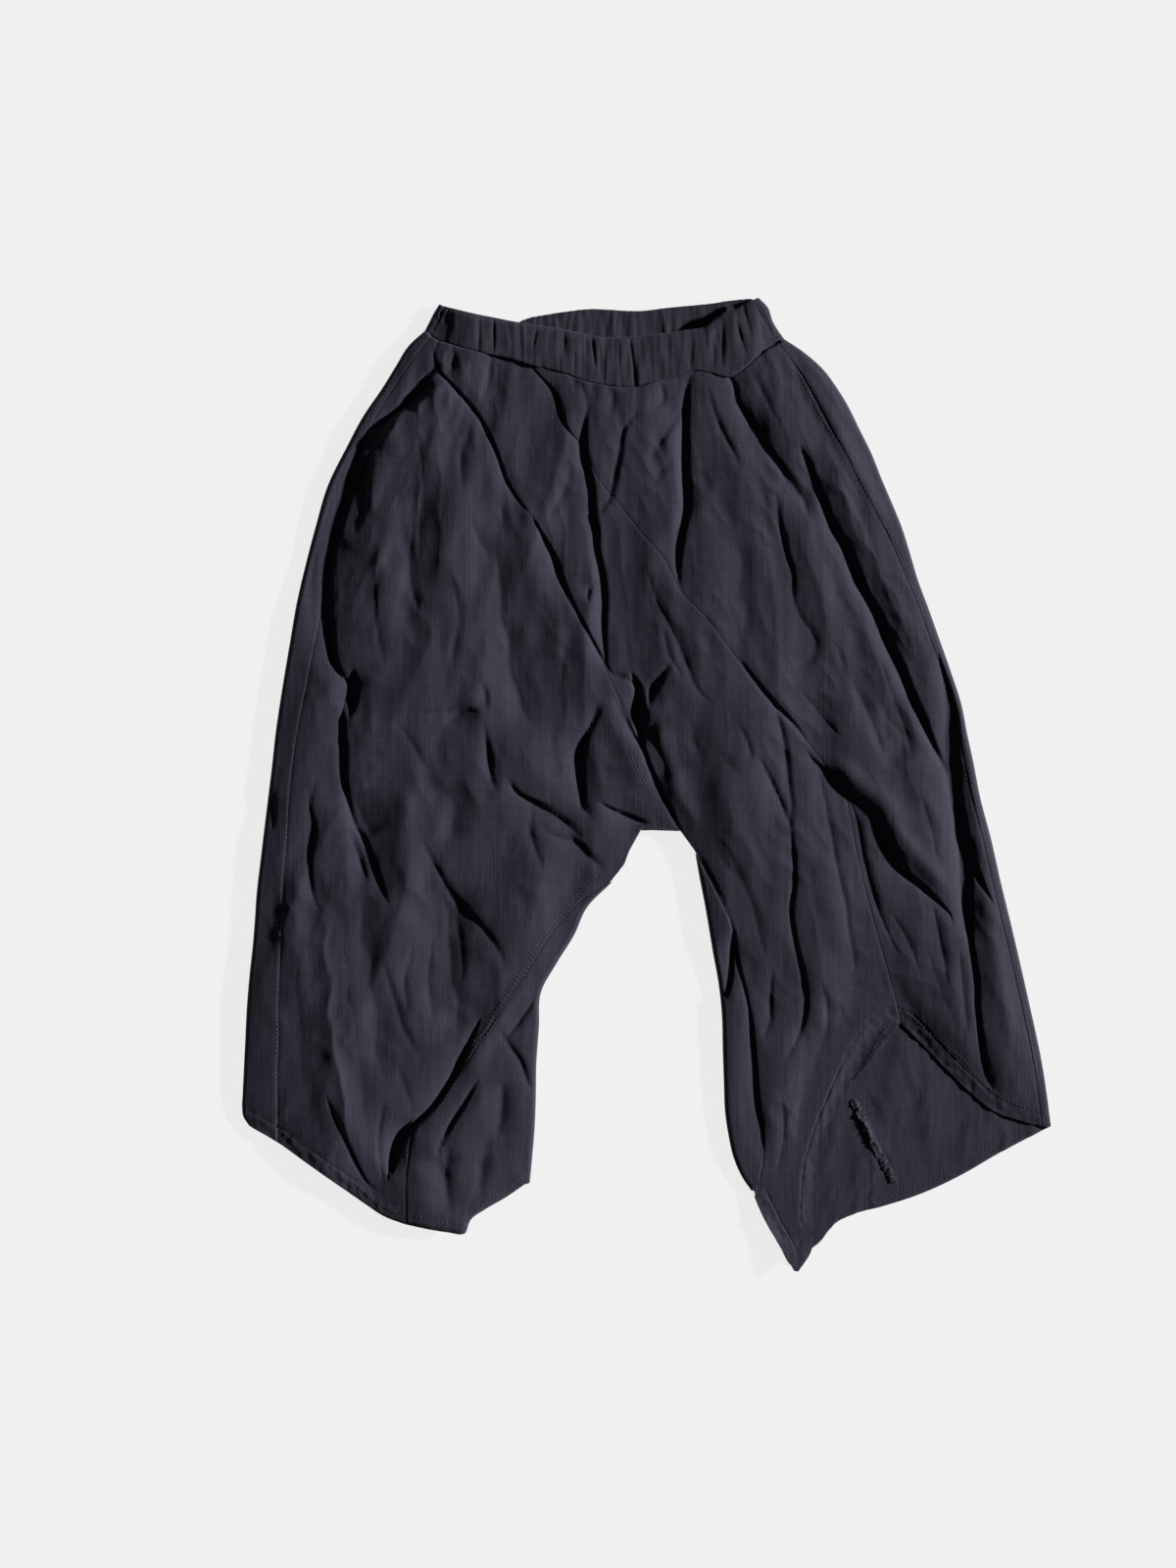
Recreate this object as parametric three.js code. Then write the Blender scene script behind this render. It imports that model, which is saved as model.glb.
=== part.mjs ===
// Drop-crotch trousers laid flat, front up. Millimetres, +X to the right of the front, +Y towards the waist,
// +Z up from the surface they lie on. The origin is under the middle of the garment.
import * as THREE from "three";

// Thickness of the cloth and of the doubled waistband, and the gap between neighbours at a seam.
const CLOTH = 1.6;
const BAND_CLOTH = 2.4;
const SEAM_GAP = 0.3;

// The front stands this high at its edges and rises by the puff, over the reach, towards the middle.
const EDGE_HEIGHT = 8;
const PUFF_HEIGHT = 9;
const PUFF_REACH = 42;

// Folds fade out in this strip along the edges, and none goes lower than the lowest height.
const SETTLED = 16;
const LOWEST_FRONT = 4.2;
const LOWEST_BLEND = 2;

// How far the cloth turns in at an edge, and the share of a narrow strip that the turn may take.
const TURN = 5;
const TURN_SHARE = 0.6;

// The waistband: its height, its rounding from rim to seam, half the width of a gather, and where it flattens.
const BAND_HEIGHT = 13.5;
const BAND_ROUNDING = 0.8;
const GATHER_SPREAD = 3;
const BAND_LEFT = { end: -195, flattens: 30 };
const BAND_RIGHT = { end: 118, flattens: 24 };

// A fold fades over this share of its line at each end, from this much of its depth.
const FOLD_FADE = 0.12;
const FOLD_END = 0.3;

// The wall is measured upright: slopes are taken over the step, and its depth grows up to this factor.
const SLOPE_STEP = 2;
const STEEPEST = 1.5;

// Rows of a panel that lie farther apart than this get up to three parts between them.
const ROW_SPACING = 26;
const MOST_PARTS = 3;

const cloth = new THREE.MeshStandardMaterial({ color: 0x2f3039, roughness: 0.93, metalness: 0 });
const bandCloth = new THREE.MeshStandardMaterial({ color: 0x2a2b34, roughness: 0.93, metalness: 0 });

// Left side: where the cloth turns over the edge, and the side seam that joins it to the front.
const leftSide = [
  { edge: [-203.4, 415.4], seam: [-197, 410] },
  { edge: [-218, 402], seam: [-209, 396] },
  { edge: [-230, 383], seam: [-221, 379] },
  { edge: [-241, 365], seam: [-233, 361] },
  { edge: [-260, 337], seam: [-250, 333] },
  { edge: [-275, 309], seam: [-261, 307] },
  { edge: [-293, 272], seam: [-274, 271] },
  { edge: [-303, 238], seam: [-284, 237] },
  { edge: [-313, 200], seam: [-291, 200] },
  { edge: [-321, 165], seam: [-297, 165] },
  { edge: [-327, 130], seam: [-304, 130] },
  { edge: [-334, 88], seam: [-312, 88] },
  { edge: [-340, 48], seam: [-320, 48] },
  { edge: [-344, 12], seam: [-325, 12] },
  { edge: [-348, -20], seam: [-328, -20] },
  { edge: [-351, -45], seam: [-329, -45] },
  { edge: [-354, -70], seam: [-331, -70] },
  { edge: [-357, -95], seam: [-333, -95] },
  { edge: [-358, -106], seam: [-333.5, -106] },
  { edge: [-359, -122], seam: [-334, -122] },
  { edge: [-361, -147], seam: [-335, -147] },
  { edge: [-364, -175], seam: [-336, -175] },
  { edge: [-366.5, -205], seam: [-337, -205] },
  { edge: [-368, -235], seam: [-337, -235] },
  { edge: [-369.5, -265], seam: [-338, -265] },
  { edge: [-370.5, -285], seam: [-338, -290] },
  { edge: [-371, -297], seam: [-338, -308] },
  { edge: [-370, -305], seam: [-338, -318] },
  { edge: [-365, -313], seam: [-338, -328] },
];

// Seam from the waist to the crotch between the left front and the diagonal centre front.
const leftDiagonal = [
  [-191, 406], [-194, 393], [-189, 378], [-176, 364], [-152, 335], [-138, 308], [-126, 274], [-101, 238],
  [-82, 202], [-67, 165], [-49, 130], [-30, 88], [-12, 48], [8, 5], [31, -43],
];

// The left front's free edge at the crotch, then its seam with the inner leg down to the hem.
const leftInseam = [
  [-5, -42], [-15, -60], [-24, -78], [-31, -87], [-61, -108], [-84, -133], [-103, -162], [-127, -198],
  [-150, -232], [-170, -263], [-190, -290], [-211, -312], [-219, -345], [-221, -403],
];

// Seam from the waist to the top of the notch between the centre front and the right front.
const rightDiagonal = [
  [-107, 383], [-97, 372], [-84, 356], [-79, 340], [-74, 326], [-60, 311], [-45, 280], [-25, 256],
  [-5, 230], [18, 203], [30, 178], [56, 150], [83, 114], [110, 79], [135, 53], [152, 32], [165, 15],
  [180, -3], [186, -30], [193, -65], [201, -100], [211, -137], [221, -172], [229, -200], [233, -219],
];

// The centre front's left edge on the right leg, from the crotch to its pointed end.
const rightInseam = [
  [44, -61], [56.5, -84], [68, -107], [78, -130], [82, -155], [88, -182], [94, -210], [98, -245],
  [100, -275], [103, -300], [106, -320], [107, -340], [104, -360], [99, -379], [108, -399], [119, -418],
  [129, -435], [135, -445.5],
];

// The centre front's right edge below the notch.
const notchLeft = [
  [210, -249], [186, -279], [171, -306], [158, -325], [155, -360], [153, -398], [151, -428], [139, -446],
];

// Right side: the turned edge, and the side seam that joins it to the right front.
const rightSide = [
  { edge: [126.4, 408], seam: [121, 403] },
  { edge: [143, 397], seam: [131, 390] },
  { edge: [163, 379], seam: [142, 373] },
  { edge: [174, 364], seam: [151, 357] },
  { edge: [184, 348], seam: [160, 340] },
  { edge: [194, 328], seam: [170, 321] },
  { edge: [206, 304], seam: [184, 297] },
  { edge: [216, 279], seam: [196, 273] },
  { edge: [225, 258], seam: [207, 253] },
  { edge: [234, 236], seam: [219, 231] },
  { edge: [241, 214], seam: [229, 210] },
  { edge: [249, 187], seam: [240, 184] },
  { edge: [259, 160], seam: [251, 157] },
  { edge: [270, 129], seam: [262, 126] },
  { edge: [280, 101], seam: [272, 98] },
  { edge: [289, 73], seam: [281, 71] },
  { edge: [294, 47], seam: [286, 45] },
  { edge: [300, 19], seam: [292, 17] },
  { edge: [306, -12], seam: [298, -14] },
  { edge: [316, -50], seam: [308, -52] },
  { edge: [325, -90], seam: [317, -92] },
  { edge: [335, -131], seam: [327, -133] },
  { edge: [350, -196], seam: [342, -198] },
  { edge: [364, -262], seam: [356, -264] },
  { edge: [371.4, -314], seam: [363, -315] },
];

// Where each panel meets the waistband, and the hems.
const waistOfCentre = [[-165, 398], [-150, 394], [-130, 390]];
const waistOfRight = [
  [-78, 376], [-55, 368], [-35, 364], [-8, 363], [10, 369], [30, 374], [45, 378], [60, 375], [76, 372],
  [92, 382], [105, 394],
];
const leftHem = [[-320, -341], [-300, -355], [-280, -369], [-260, -383], [-240, -396]];
const innerHem = [[-200, -407], [-180, -410], [-164, -411], [-159, -399], [-145, -389], [-125, -378]];
const rightHem = [[260, -246], [280, -267], [300, -286], [320, -302], [340, -309]];
const backHem = [
  [108, -398], [119, -417], [136, -443.5], [151, -427], [160, -420], [171, -405], [190, -395],
  [216, -388], [250, -377], [289, -359], [320, -341], [354, -323],
];

// Left inner leg: it turns over the edge between the legs and ends on the underside.
const leftInner = [
  { seam: [-31, -87], edge: [-32, -90.5], under: [-42, -80] },
  { seam: [-61, -108], edge: [-55, -114], under: [-66, -100] },
  { seam: [-84, -133], edge: [-66, -138], under: [-84, -126] },
  { seam: [-103, -162], edge: [-82, -164], under: [-102, -152] },
  { seam: [-127, -198], edge: [-97, -192], under: [-118, -186] },
  { seam: [-150, -232], edge: [-98.5, -222], under: [-122, -220] },
  { seam: [-170, -263], edge: [-101, -258], under: [-124, -256] },
  { seam: [-190, -290], edge: [-101.5, -290], under: [-125, -290] },
  { seam: [-211, -312], edge: [-102.5, -315], under: [-126, -315] },
  { seam: [-219, -345], edge: [-105, -345], under: [-128, -342] },
  { seam: [-221, -403], over: innerHem, edge: [-107, -366], under: [-130, -372] },
];

// Right inner leg, in the same way.
const rightInner = [
  { seam: [44, -61], edge: [42.6, -64], under: [53, -64] },
  { seam: [56.5, -84], edge: [48.5, -85], under: [63, -85] },
  { seam: [68, -107], edge: [53, -108], under: [71, -108] },
  { seam: [78, -130], edge: [57, -131], under: [77, -131] },
  { seam: [82, -155], edge: [61, -155], under: [82, -155] },
  { seam: [88, -182], edge: [66, -182], under: [87, -182] },
  { seam: [94, -210], edge: [69, -210], under: [90, -210] },
  { seam: [98, -245], edge: [70, -245], under: [92, -245] },
  { seam: [100, -275], edge: [71, -275], under: [93, -275] },
  { seam: [103, -300], edge: [72, -300], under: [94, -300] },
  { seam: [106, -320], edge: [75, -321], under: [97, -321] },
  { seam: [107, -340], edge: [80, -343], under: [101, -335] },
  { seam: [104, -360], edge: [88, -361], under: [105, -350] },
  { seam: [99.5, -377], edge: [96.6, -373.6], under: [109, -362] },
];

// Seam down the middle of the back, from the waistband to the crotch.
const centreBack = [
  [-30, 392], [-29, 372], [-28, 352], [-27, 335], [-26, 310], [-25, 285], [-24, 260], [-22, 230],
  [-20, 195], [-17, 160], [-12, 125], [-5, 85], [1, 45], [8, 5], [14, -38],
];

// The elastic waistband. The front's rim lies lower than the back's, so the back's inside shows above it.
const frontRim = [
  [-183, 437], [-160, 431], [-140, 427], [-120, 423], [-100, 420], [-80, 417], [-60, 413], [-40, 409],
  [-20, 409], [0, 411], [20, 413], [40, 416], [52, 418], [61, 425], [70, 431], [80, 434], [90, 440],
  [96, 443],
];
// Both ends of the back's part, from the rim down: where it meets the front's, its edge, and which way it turns.
const backBand = [
  { left: [-183, 437.4], from: [-190, 440], outLeft: [-1, 0],
    right: [96, 443.4], to: [103, 446], outRight: [1, 0] },
  { left: [-187.7, 428.4], from: [-195, 432], outLeft: [-1, 0],
    right: [103.7, 431], to: [111.5, 437], outRight: [1, 0] },
  { left: [-192.3, 419.4], from: [-199, 424], outLeft: [-1, 0],
    right: [111.7, 418], to: [116, 424], outRight: [1, 0] },
  { left: [-196.8, 410.4], from: [-203.3, 415.8], outLeft: [-0.87, 0.5],
    right: [120.6, 403.5], to: [126.1, 408.4], outRight: [0.9, 0.43] },
];
const backRim = [
  [-160, 431], [-140, 426], [-120, 423], [-110, 427], [-90, 431], [-70, 434], [-50, 436], [-30, 435],
  [-10, 434], [20, 437], [40, 439], [60, 441], [80, 444],
];
const backBandSeam = [[-160, 393], [-120, 394], [-60, 393], [-30, 393], [0, 393], [60, 397], [100, 402]];

// Gathers drawn in by the elastic: the place along the band and how deep the pucker is.
const gathers = [
  { x: -182, depth: 2.2 },
  { x: -168, depth: 1.2 },
  { x: -150, depth: 1.4 },
  { x: -140, depth: 3.2 },
  { x: -122, depth: 1.2 },
  { x: -104, depth: 2.4 },
  { x: -92, depth: 1.0 },
  { x: -76, depth: 1.8 },
  { x: -62, depth: 1.5 },
  { x: -48, depth: 3.0 },
  { x: -38, depth: 1.6 },
  { x: -26, depth: 1.5 },
  { x: -14, depth: 3.0 },
  { x: 2, depth: 0.8 },
  { x: 20, depth: 0.7 },
  { x: 36, depth: 1.6 },
  { x: 43, depth: 2.4 },
  { x: 54, depth: 1.8 },
  { x: 61, depth: 2.2 },
  { x: 71, depth: 3.2 },
  { x: 84, depth: 3.0 },
  { x: 97, depth: 1.6 },
];

// The largest folds, each from its upper end down: depth, and how far it spreads to the left and to the right.
const folds = [
  { name: "under the pocket", depth: 10, left: 9, right: 7,
    line: [[-194, 372], [-206, 362], [-222, 340], [-240, 325], [-256, 318]] },
  { name: "pocket side", depth: 12, left: 6, right: 12,
    line: [[-262, 300], [-278, 262], [-290, 215], [-291, 150], [-286, 118], [-270, 98], [-258, 84]] },
  { name: "left knot", depth: 9, left: 6, right: 12,
    line: [[-258, 84], [-268, 76], [-276, 60], [-277, 20], [-270, -15], [-262, -42]] },
  { name: "below the pocket", depth: 7, left: 7, right: 9,
    line: [[-252, 300], [-258, 270], [-264, 235]] },
  { name: "left hollow", depth: 6, left: 12, right: 16,
    line: [[-200, 330], [-207, 280], [-208, 240], [-216, 190], [-212, 150]] },
  { name: "middle hollow", depth: 7, left: 18, right: 22,
    line: [[-125, 230], [-112, 190], [-98, 150], [-88, 110], [-96, 60]] },
  { name: "left smile", depth: 5, left: 9, right: 8,
    line: [[-235, 55], [-200, 64], [-165, 66], [-148, 84]] },
  { name: "left centre", depth: 8, left: 8, right: 10,
    line: [[-142, 50], [-143, 20], [-136, -2], [-110, -18], [-78, -38], [-60, -52]] },
  { name: "crotch side", depth: 10, left: 6, right: 12,
    line: [[-42, 72], [-54, 48], [-63, 24], [-60, -5], [-52, -26]] },
  { name: "loop", depth: 9, left: 6, right: 10,
    line: [[-26, 94], [-4, 86], [4, 76], [10, 60], [6, 30]] },
  { name: "left top", depth: 11, left: 6, right: 14,
    line: [[-58, 350], [-58, 300], [-50, 250], [-46, 215], [-40, 165], [-37, 118]] },
  { name: "left top branch", depth: 7, left: 9, right: 9,
    line: [[0, 345], [-22, 322], [-28, 285], [-35, 262], [-50, 246]] },
  { name: "seam hollow", depth: 6, left: 8, right: 8,
    line: [[-68, 290], [-76, 268], [-88, 250], [-102, 238]] },
  { name: "beside the seam", depth: 7, left: 7, right: 6,
    line: [[-98, 232], [-84, 205], [-68, 172]] },
  { name: "centre pleat", depth: 13, left: 5, right: 18,
    line: [[42, 378], [38, 350], [37, 300], [37, 245], [31, 215], [30, 182]] },
  { name: "right gather", depth: 9, left: 7, right: 12,
    line: [[70, 385], [82, 352], [100, 320], [122, 288], [142, 258]] },
  { name: "small gather", depth: 5, left: 7, right: 8,
    line: [[60, 355], [66, 325], [82, 298]] },
  { name: "right pleat", depth: 7, left: 7, right: 10,
    line: [[118, 268], [123, 240], [130, 205], [135, 170], [150, 135], [152, 118], [132, 98]] },
  { name: "soft middle", depth: 5, left: 10, right: 14,
    line: [[84, 240], [87, 180], [88, 140], [85, 116]] },
  { name: "right diagonal", depth: 12, left: 7, right: 14,
    line: [[140, 308], [152, 280], [172, 232], [196, 182], [222, 126], [246, 70], [264, 32], [280, 8]] },
  { name: "right side", depth: 12, left: 8, right: 10,
    line: [[266, 112], [278, 75], [282, 40], [286, -10], [296, -60], [296, -110], [302, -170],
      [306, -220], [316, -275]] },
  { name: "right side branch", depth: 6, left: 7, right: 7,
    line: [[300, -72], [310, -95], [317, -108]] },
  { name: "flap", depth: 8, left: 15, right: 9,
    line: [[146, 30], [160, 16], [180, -6], [204, -26], [216, -55], [238, -80], [262, -104],
      [278, -122]] },
  { name: "under the flap", depth: 5, left: 9, right: 8,
    line: [[264, -112], [271, -148], [275, -182]] },
  { name: "right leg long", depth: 7, left: 7, right: 10,
    line: [[118, 75], [128, 20], [131, -30], [134, -90], [136, -145], [145, -195], [136, -238],
      [124, -256]] },
  { name: "right leg second", depth: 5, left: 7, right: 8,
    line: [[158, 12], [168, -40], [180, -105], [191, -168]] },
  { name: "right leg third", depth: 5, left: 7, right: 8,
    line: [[186, -12], [198, -65], [212, -115], [230, -154]] },
  { name: "left leg first", depth: 6, left: 10, right: 9,
    line: [[-262, -40], [-248, -78], [-236, -108], [-228, -160], [-220, -220], [-206, -250]] },
  { name: "left leg wide", depth: 6, left: 9, right: 16,
    line: [[-258, -110], [-252, -160], [-244, -215], [-236, -262]] },
  { name: "left leg side", depth: 8, left: 12, right: 8,
    line: [[-304, 0], [-308, -60], [-304, -105], [-294, -150], [-292, -200], [-284, -250], [-276, -300],
      [-264, -352]] },
  { name: "left leg middle", depth: 7, left: 8, right: 16,
    line: [[-205, -55], [-188, -86], [-170, -110], [-158, -150], [-160, -190]] },
  { name: "along the inseam", depth: 8, left: 9, right: 6,
    line: [[-158, -228], [-172, -262], [-200, -304], [-224, -318], [-231, -348]] },
  { name: "inner leg nick", depth: 6, left: 6, right: 6,
    line: [[-154, -272], [-172, -302], [-190, -338]] },
  { name: "inner leg step", depth: 7, left: 5, right: 9,
    line: [[-130, -226], [-118, -250], [-104, -282]] },
];

// Ridges that stand a little above the cloth round them.
const ridges = [
  { name: "left ridge", depth: -4, left: 14, right: 14,
    line: [[-232, 270], [-236, 215], [-232, 165]] },
  { name: "left front crown", depth: -3, left: 18, right: 18,
    line: [[-172, 280], [-172, 220], [-176, 160], [-168, 110]] },
  { name: "flap lip", depth: -5, left: 9, right: 9,
    line: [[160, 32], [186, 6], [214, -18], [236, -56], [262, -84], [284, -106]] },
  { name: "right lip", depth: -4, left: 10, right: 10,
    line: [[160, 240], [186, 178], [212, 120], [238, 60]] },
  { name: "pleat lip", depth: -4, left: 9, right: 9,
    line: [[24, 345], [22, 300], [22, 250], [18, 215]] },
  { name: "left leg crown", depth: -3, left: 13, right: 13,
    line: [[-280, -60], [-276, -130], [-268, -200], [-258, -280]] },
  { name: "inseam lip", depth: -3, left: 10, right: 10,
    line: [[-105, -172], [-140, -224], [-172, -272]] },
];

const leftEdge = leftSide.map((row) => row.edge);
const rightEdge = rightSide.map((row) => row.edge);
const rim = [
  ...leftEdge.slice().reverse(),
  ...backBand.map((row) => row.from).reverse(),
  ...backRim,
  ...backBand.map((row) => row.to),
  ...rightEdge,
];
const gapBetweenLegs = [
  ...leftInner.map((row) => row.edge).reverse(),
  [-15, -60],
  [-5, -42],
  [14, -39],
  [31, -43],
  ...rightInner.map((row) => row.edge),
];
// Towards each hem the front comes down: the edge it lies along, how far down, and over what distance.
const hems = [
  { drop: 4.5, reach: 26, line: [[-365, -313], [-338, -328], ...leftHem, [-221, -403], ...innerHem, [-107, -366]] },
  { drop: 4.5, reach: 26, line: [[99, -379], [119, -418], [137, -444], [151, -428]] },
  { drop: 12, reach: 42, line: [[153, -398], [155, -360], [171, -306], [233, -219], ...rightHem, [363, -315]] },
];

const mix = (a, b, t) => a + (b - a) * t;
const mixPoint = (a, b, t) => [mix(a[0], b[0], t), mix(a[1], b[1], t)];
const apart = (a, b) => Math.hypot(b[0] - a[0], b[1] - a[1]);
const smooth = (t) => {
  const c = Math.min(Math.max(t, 0), 1);
  return c * c * (3 - 2 * c);
};

// The nearest place on a line: its distance, positive to the right of a line drawn downwards, and its share.
function nearest(line, x, y) {
  const total = line.slice(1).reduce((sum, p, i) => sum + apart(line[i], p), 0);
  let best = { distance: Infinity, share: 0 };
  let before = 0;
  for (let i = 0; i + 1 < line.length; i++) {
    const [ax, ay] = line[i];
    const dx = line[i + 1][0] - ax;
    const dy = line[i + 1][1] - ay;
    const long = Math.hypot(dx, dy);
    const t = Math.min(Math.max(((x - ax) * dx + (y - ay) * dy) / (long * long), 0), 1);
    const away = Math.hypot(x - ax - dx * t, y - ay - dy * t);
    if (away < Math.abs(best.distance)) {
      const side = dx * (y - ay) - dy * (x - ax) < 0 ? -1 : 1;
      best = { distance: away * side, share: (before + long * t) / total };
    }
    before += long;
  }
  return best;
}

function foldHeight(fold, x, y) {
  const { distance, share } = nearest(fold.line, x, y);
  const spread = distance < 0 ? fold.left : fold.right;
  const ends = smooth(share / FOLD_FADE + FOLD_END) * smooth((1 - share) / FOLD_FADE + FOLD_END);
  return -fold.depth * ends * Math.exp(-((distance / spread) ** 2));
}

// The height of the front's outer face above the surface.
function frontHeight(x, y) {
  const distanceTo = (line) => Math.abs(nearest(line, x, y).distance);
  const inside = Math.min(distanceTo(rim), distanceTo(gapBetweenLegs));
  const drops = hems.map((hem) => hem.drop * Math.exp(-distanceTo(hem.line) / hem.reach));
  let height = EDGE_HEIGHT + PUFF_HEIGHT * (1 - Math.exp(-inside / PUFF_REACH));
  const settled = smooth(inside / SETTLED);
  let change = 0;
  for (const fold of folds) change += foldHeight(fold, x, y);
  for (const ridge of ridges) change += foldHeight(ridge, x, y);
  height += change * settled - Math.max(...drops);
  const over = height - LOWEST_FRONT;
  return LOWEST_FRONT + (over + Math.hypot(over, LOWEST_BLEND)) / 2;
}

// The height of the waistband's face; the share runs from 0 at the rim to 1 at the seam.
function bandHeight(x, share) {
  let height = BAND_HEIGHT;
  for (const gather of gathers) height -= gather.depth * Math.exp(-(((x - gather.x) / GATHER_SPREAD) ** 2));
  const inLeft = smooth((x - BAND_LEFT.end) / BAND_LEFT.flattens);
  const inRight = smooth((BAND_RIGHT.end - x) / BAND_RIGHT.flattens);
  const rounding = BAND_ROUNDING * Math.cos(2 * Math.PI * share);
  return mix(EDGE_HEIGHT, height, Math.min(inLeft, inRight)) - rounding;
}

// Upright depth of a wall of the cloth where the front slopes.
function wallDepth(x, y) {
  const slopeX = (frontHeight(x + SLOPE_STEP, y) - frontHeight(x - SLOPE_STEP, y)) / (2 * SLOPE_STEP);
  const slopeY = (frontHeight(x, y + SLOPE_STEP) - frontHeight(x, y - SLOPE_STEP)) / (2 * SLOPE_STEP);
  return CLOTH * Math.min(Math.hypot(1, slopeX, slopeY), STEEPEST);
}

// Points spread evenly along a line, with the line's own corners kept.
function along(line, count) {
  const lengths = [0];
  for (let i = 1; i < line.length; i++) lengths.push(lengths[i - 1] + apart(line[i - 1], line[i]));
  const total = lengths[lengths.length - 1];
  const places = Array.from({ length: count + 1 }, (_, i) => (total * i) / count);
  for (let i = 1; i + 1 < line.length; i++) {
    const slot = Math.round((lengths[i] / total) * count);
    if (slot > 0 && slot < count) places[slot] = lengths[i];
  }
  let k = 0;
  return places.map((place) => {
    while (k + 2 < line.length && lengths[k + 1] < place) k++;
    const t = (place - lengths[k]) / (lengths[k + 1] - lengths[k]);
    return mixPoint(line[k], line[k + 1], Math.min(Math.max(t, 0), 1));
  });
}

// Draws the ends of a row in by half the seam gap, so that neighbours don't touch.
function drawnIn(row, atStart, atEnd) {
  const made = row.map((p) => p.slice());
  const last = made.length - 1;
  const pull = (i, j, gap) => {
    const t = gap / apart(made[i], made[j]);
    made[i] = mixPoint(made[i], made[j], t);
  };
  if (atStart) pull(0, 1, atStart);
  if (atEnd) pull(last, last - 1, atEnd);
  return made;
}

// Adds rows between rows that lie far apart.
function fillRows(rows) {
  const made = [];
  rows.forEach((row, i) => {
    made.push(row);
    if (i + 1 === rows.length) return;
    const next = rows[i + 1];
    const farthest = Math.max(...row.map((p, j) => apart(p, next[j])));
    const near = Math.min(...row.map((p, j) => apart(p, next[j])));
    const parts = Math.max(1, Math.min(MOST_PARTS, Math.round((farthest + near) / 2 / ROW_SPACING)));
    for (let k = 1; k < parts; k++) made.push(row.map((p, j) => mixPoint(p, next[j], k / parts)));
  });
  return made;
}

// A closed wall between two grids of points that have the same rows and columns.
function wallBetween(name, outer, inner, material) {
  const rows = outer.length;
  const columns = outer[0].length;
  const positions = [];
  for (const p of [...outer.flat(), ...inner.flat()]) positions.push(...p);
  const top = (i, j) => i * columns + j;
  const under = (i, j) => rows * columns + i * columns + j;
  const faces = [];
  const quad = (a, b, c, d) => faces.push(a, b, c, a, c, d);
  for (let i = 0; i + 1 < rows; i++) {
    for (let j = 0; j + 1 < columns; j++) {
      quad(top(i, j), top(i + 1, j), top(i + 1, j + 1), top(i, j + 1));
      quad(under(i, j), under(i, j + 1), under(i + 1, j + 1), under(i + 1, j));
    }
    quad(top(i, 0), under(i, 0), under(i + 1, 0), top(i + 1, 0));
    quad(top(i, columns - 1), top(i + 1, columns - 1), under(i + 1, columns - 1), under(i, columns - 1));
  }
  for (let j = 0; j + 1 < columns; j++) {
    quad(top(0, j), top(0, j + 1), under(0, j + 1), under(0, j));
    quad(top(rows - 1, j), under(rows - 1, j), under(rows - 1, j + 1), top(rows - 1, j + 1));
  }
  const geometry = new THREE.BufferGeometry();
  geometry.setAttribute("position", new THREE.Float32BufferAttribute(positions, 3));
  geometry.setIndex(signedVolume(positions, faces) < 0 ? faces.slice().reverse() : faces);
  geometry.computeVertexNormals();
  const mesh = new THREE.Mesh(geometry, material);
  mesh.name = name;
  return mesh;
}

function signedVolume(positions, faces) {
  const corner = (i) => new THREE.Vector3(positions[3 * i], positions[3 * i + 1], positions[3 * i + 2]);
  let volume = 0;
  for (let i = 0; i < faces.length; i += 3) {
    volume += corner(faces[i]).dot(corner(faces[i + 1]).cross(corner(faces[i + 2]))) / 6;
  }
  return volume;
}

// A panel of the front: rows of plan points from its left seam to its right one, raised to the front's height.
function frontPanel(name, rungs, columns) {
  const rows = rungs.map((rung) => drawnIn(along(rung, columns), SEAM_GAP / 2, SEAM_GAP / 2));
  const plan = fillRows(rows);
  const outer = plan.map((row) => row.map(([x, y]) => [x, y, frontHeight(x, y)]));
  const inner = outer.map((row) => row.map(([x, y, z]) => [x, y, z - wallDepth(x, y)]));
  return wallBetween(name, outer, inner, cloth);
}

// The part of a row that turns over an edge: from the seam on top, round the edge, to the underside.
function turnedRow({ seam, over = [], edge, out }, thick, heightAt, counts) {
  const turn = Math.min(TURN, TURN_SHARE * apart(seam, edge));
  const centre = [edge[0] - out[0] * turn, edge[1] - out[1] * turn];
  const high = heightAt(centre[0], centre[1]);
  const outer = [];
  const inner = [];
  for (const [x, y] of along([seam, ...over, centre], counts.top).slice(0, -1)) {
    const z = heightAt(x, y);
    outer.push([x, y, z]);
    inner.push([x, y, z - thick]);
  }
  for (let i = 0; i <= counts.turn; i++) {
    const angle = Math.PI / 2 - (Math.PI * i) / counts.turn;
    const place = (across, up) => [
      centre[0] + out[0] * across * Math.cos(angle),
      centre[1] + out[1] * across * Math.cos(angle),
      high / 2 + up * Math.sin(angle),
    ];
    outer.push(place(turn, high / 2));
    inner.push(place(turn - thick, high / 2 - thick));
  }
  return { outer, inner };
}

const unit = ([x, y]) => [x / Math.hypot(x, y), y / Math.hypot(x, y)];
const direction = (from, to) => unit([to[0] - from[0], to[1] - from[1]]);
const shortened = (from, to) => mixPoint(from, to, SEAM_GAP / 2 / apart(from, to));

// A row that turns over its edge and goes on along the underside, past its bends, to the last point.
function wrapRow({ seam, over = [], edge, bends = [], under }, counts) {
  const flatPoints = [...bends, under];
  const top = { seam: shortened(seam, over[0] ?? edge), over, edge, out: direction(flatPoints[0], edge) };
  const turned = turnedRow(top, CLOTH, frontHeight, counts);
  const start = turned.outer[turned.outer.length - 1].slice(0, 2);
  const flat = drawnIn(along([start, ...flatPoints], counts.under), 0, SEAM_GAP / 2).slice(1);
  return {
    outer: [...turned.outer, ...flat.map(([x, y]) => [x, y, 0])],
    inner: [...turned.inner, ...flat.map(([x, y]) => [x, y, CLOTH])],
  };
}

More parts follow.
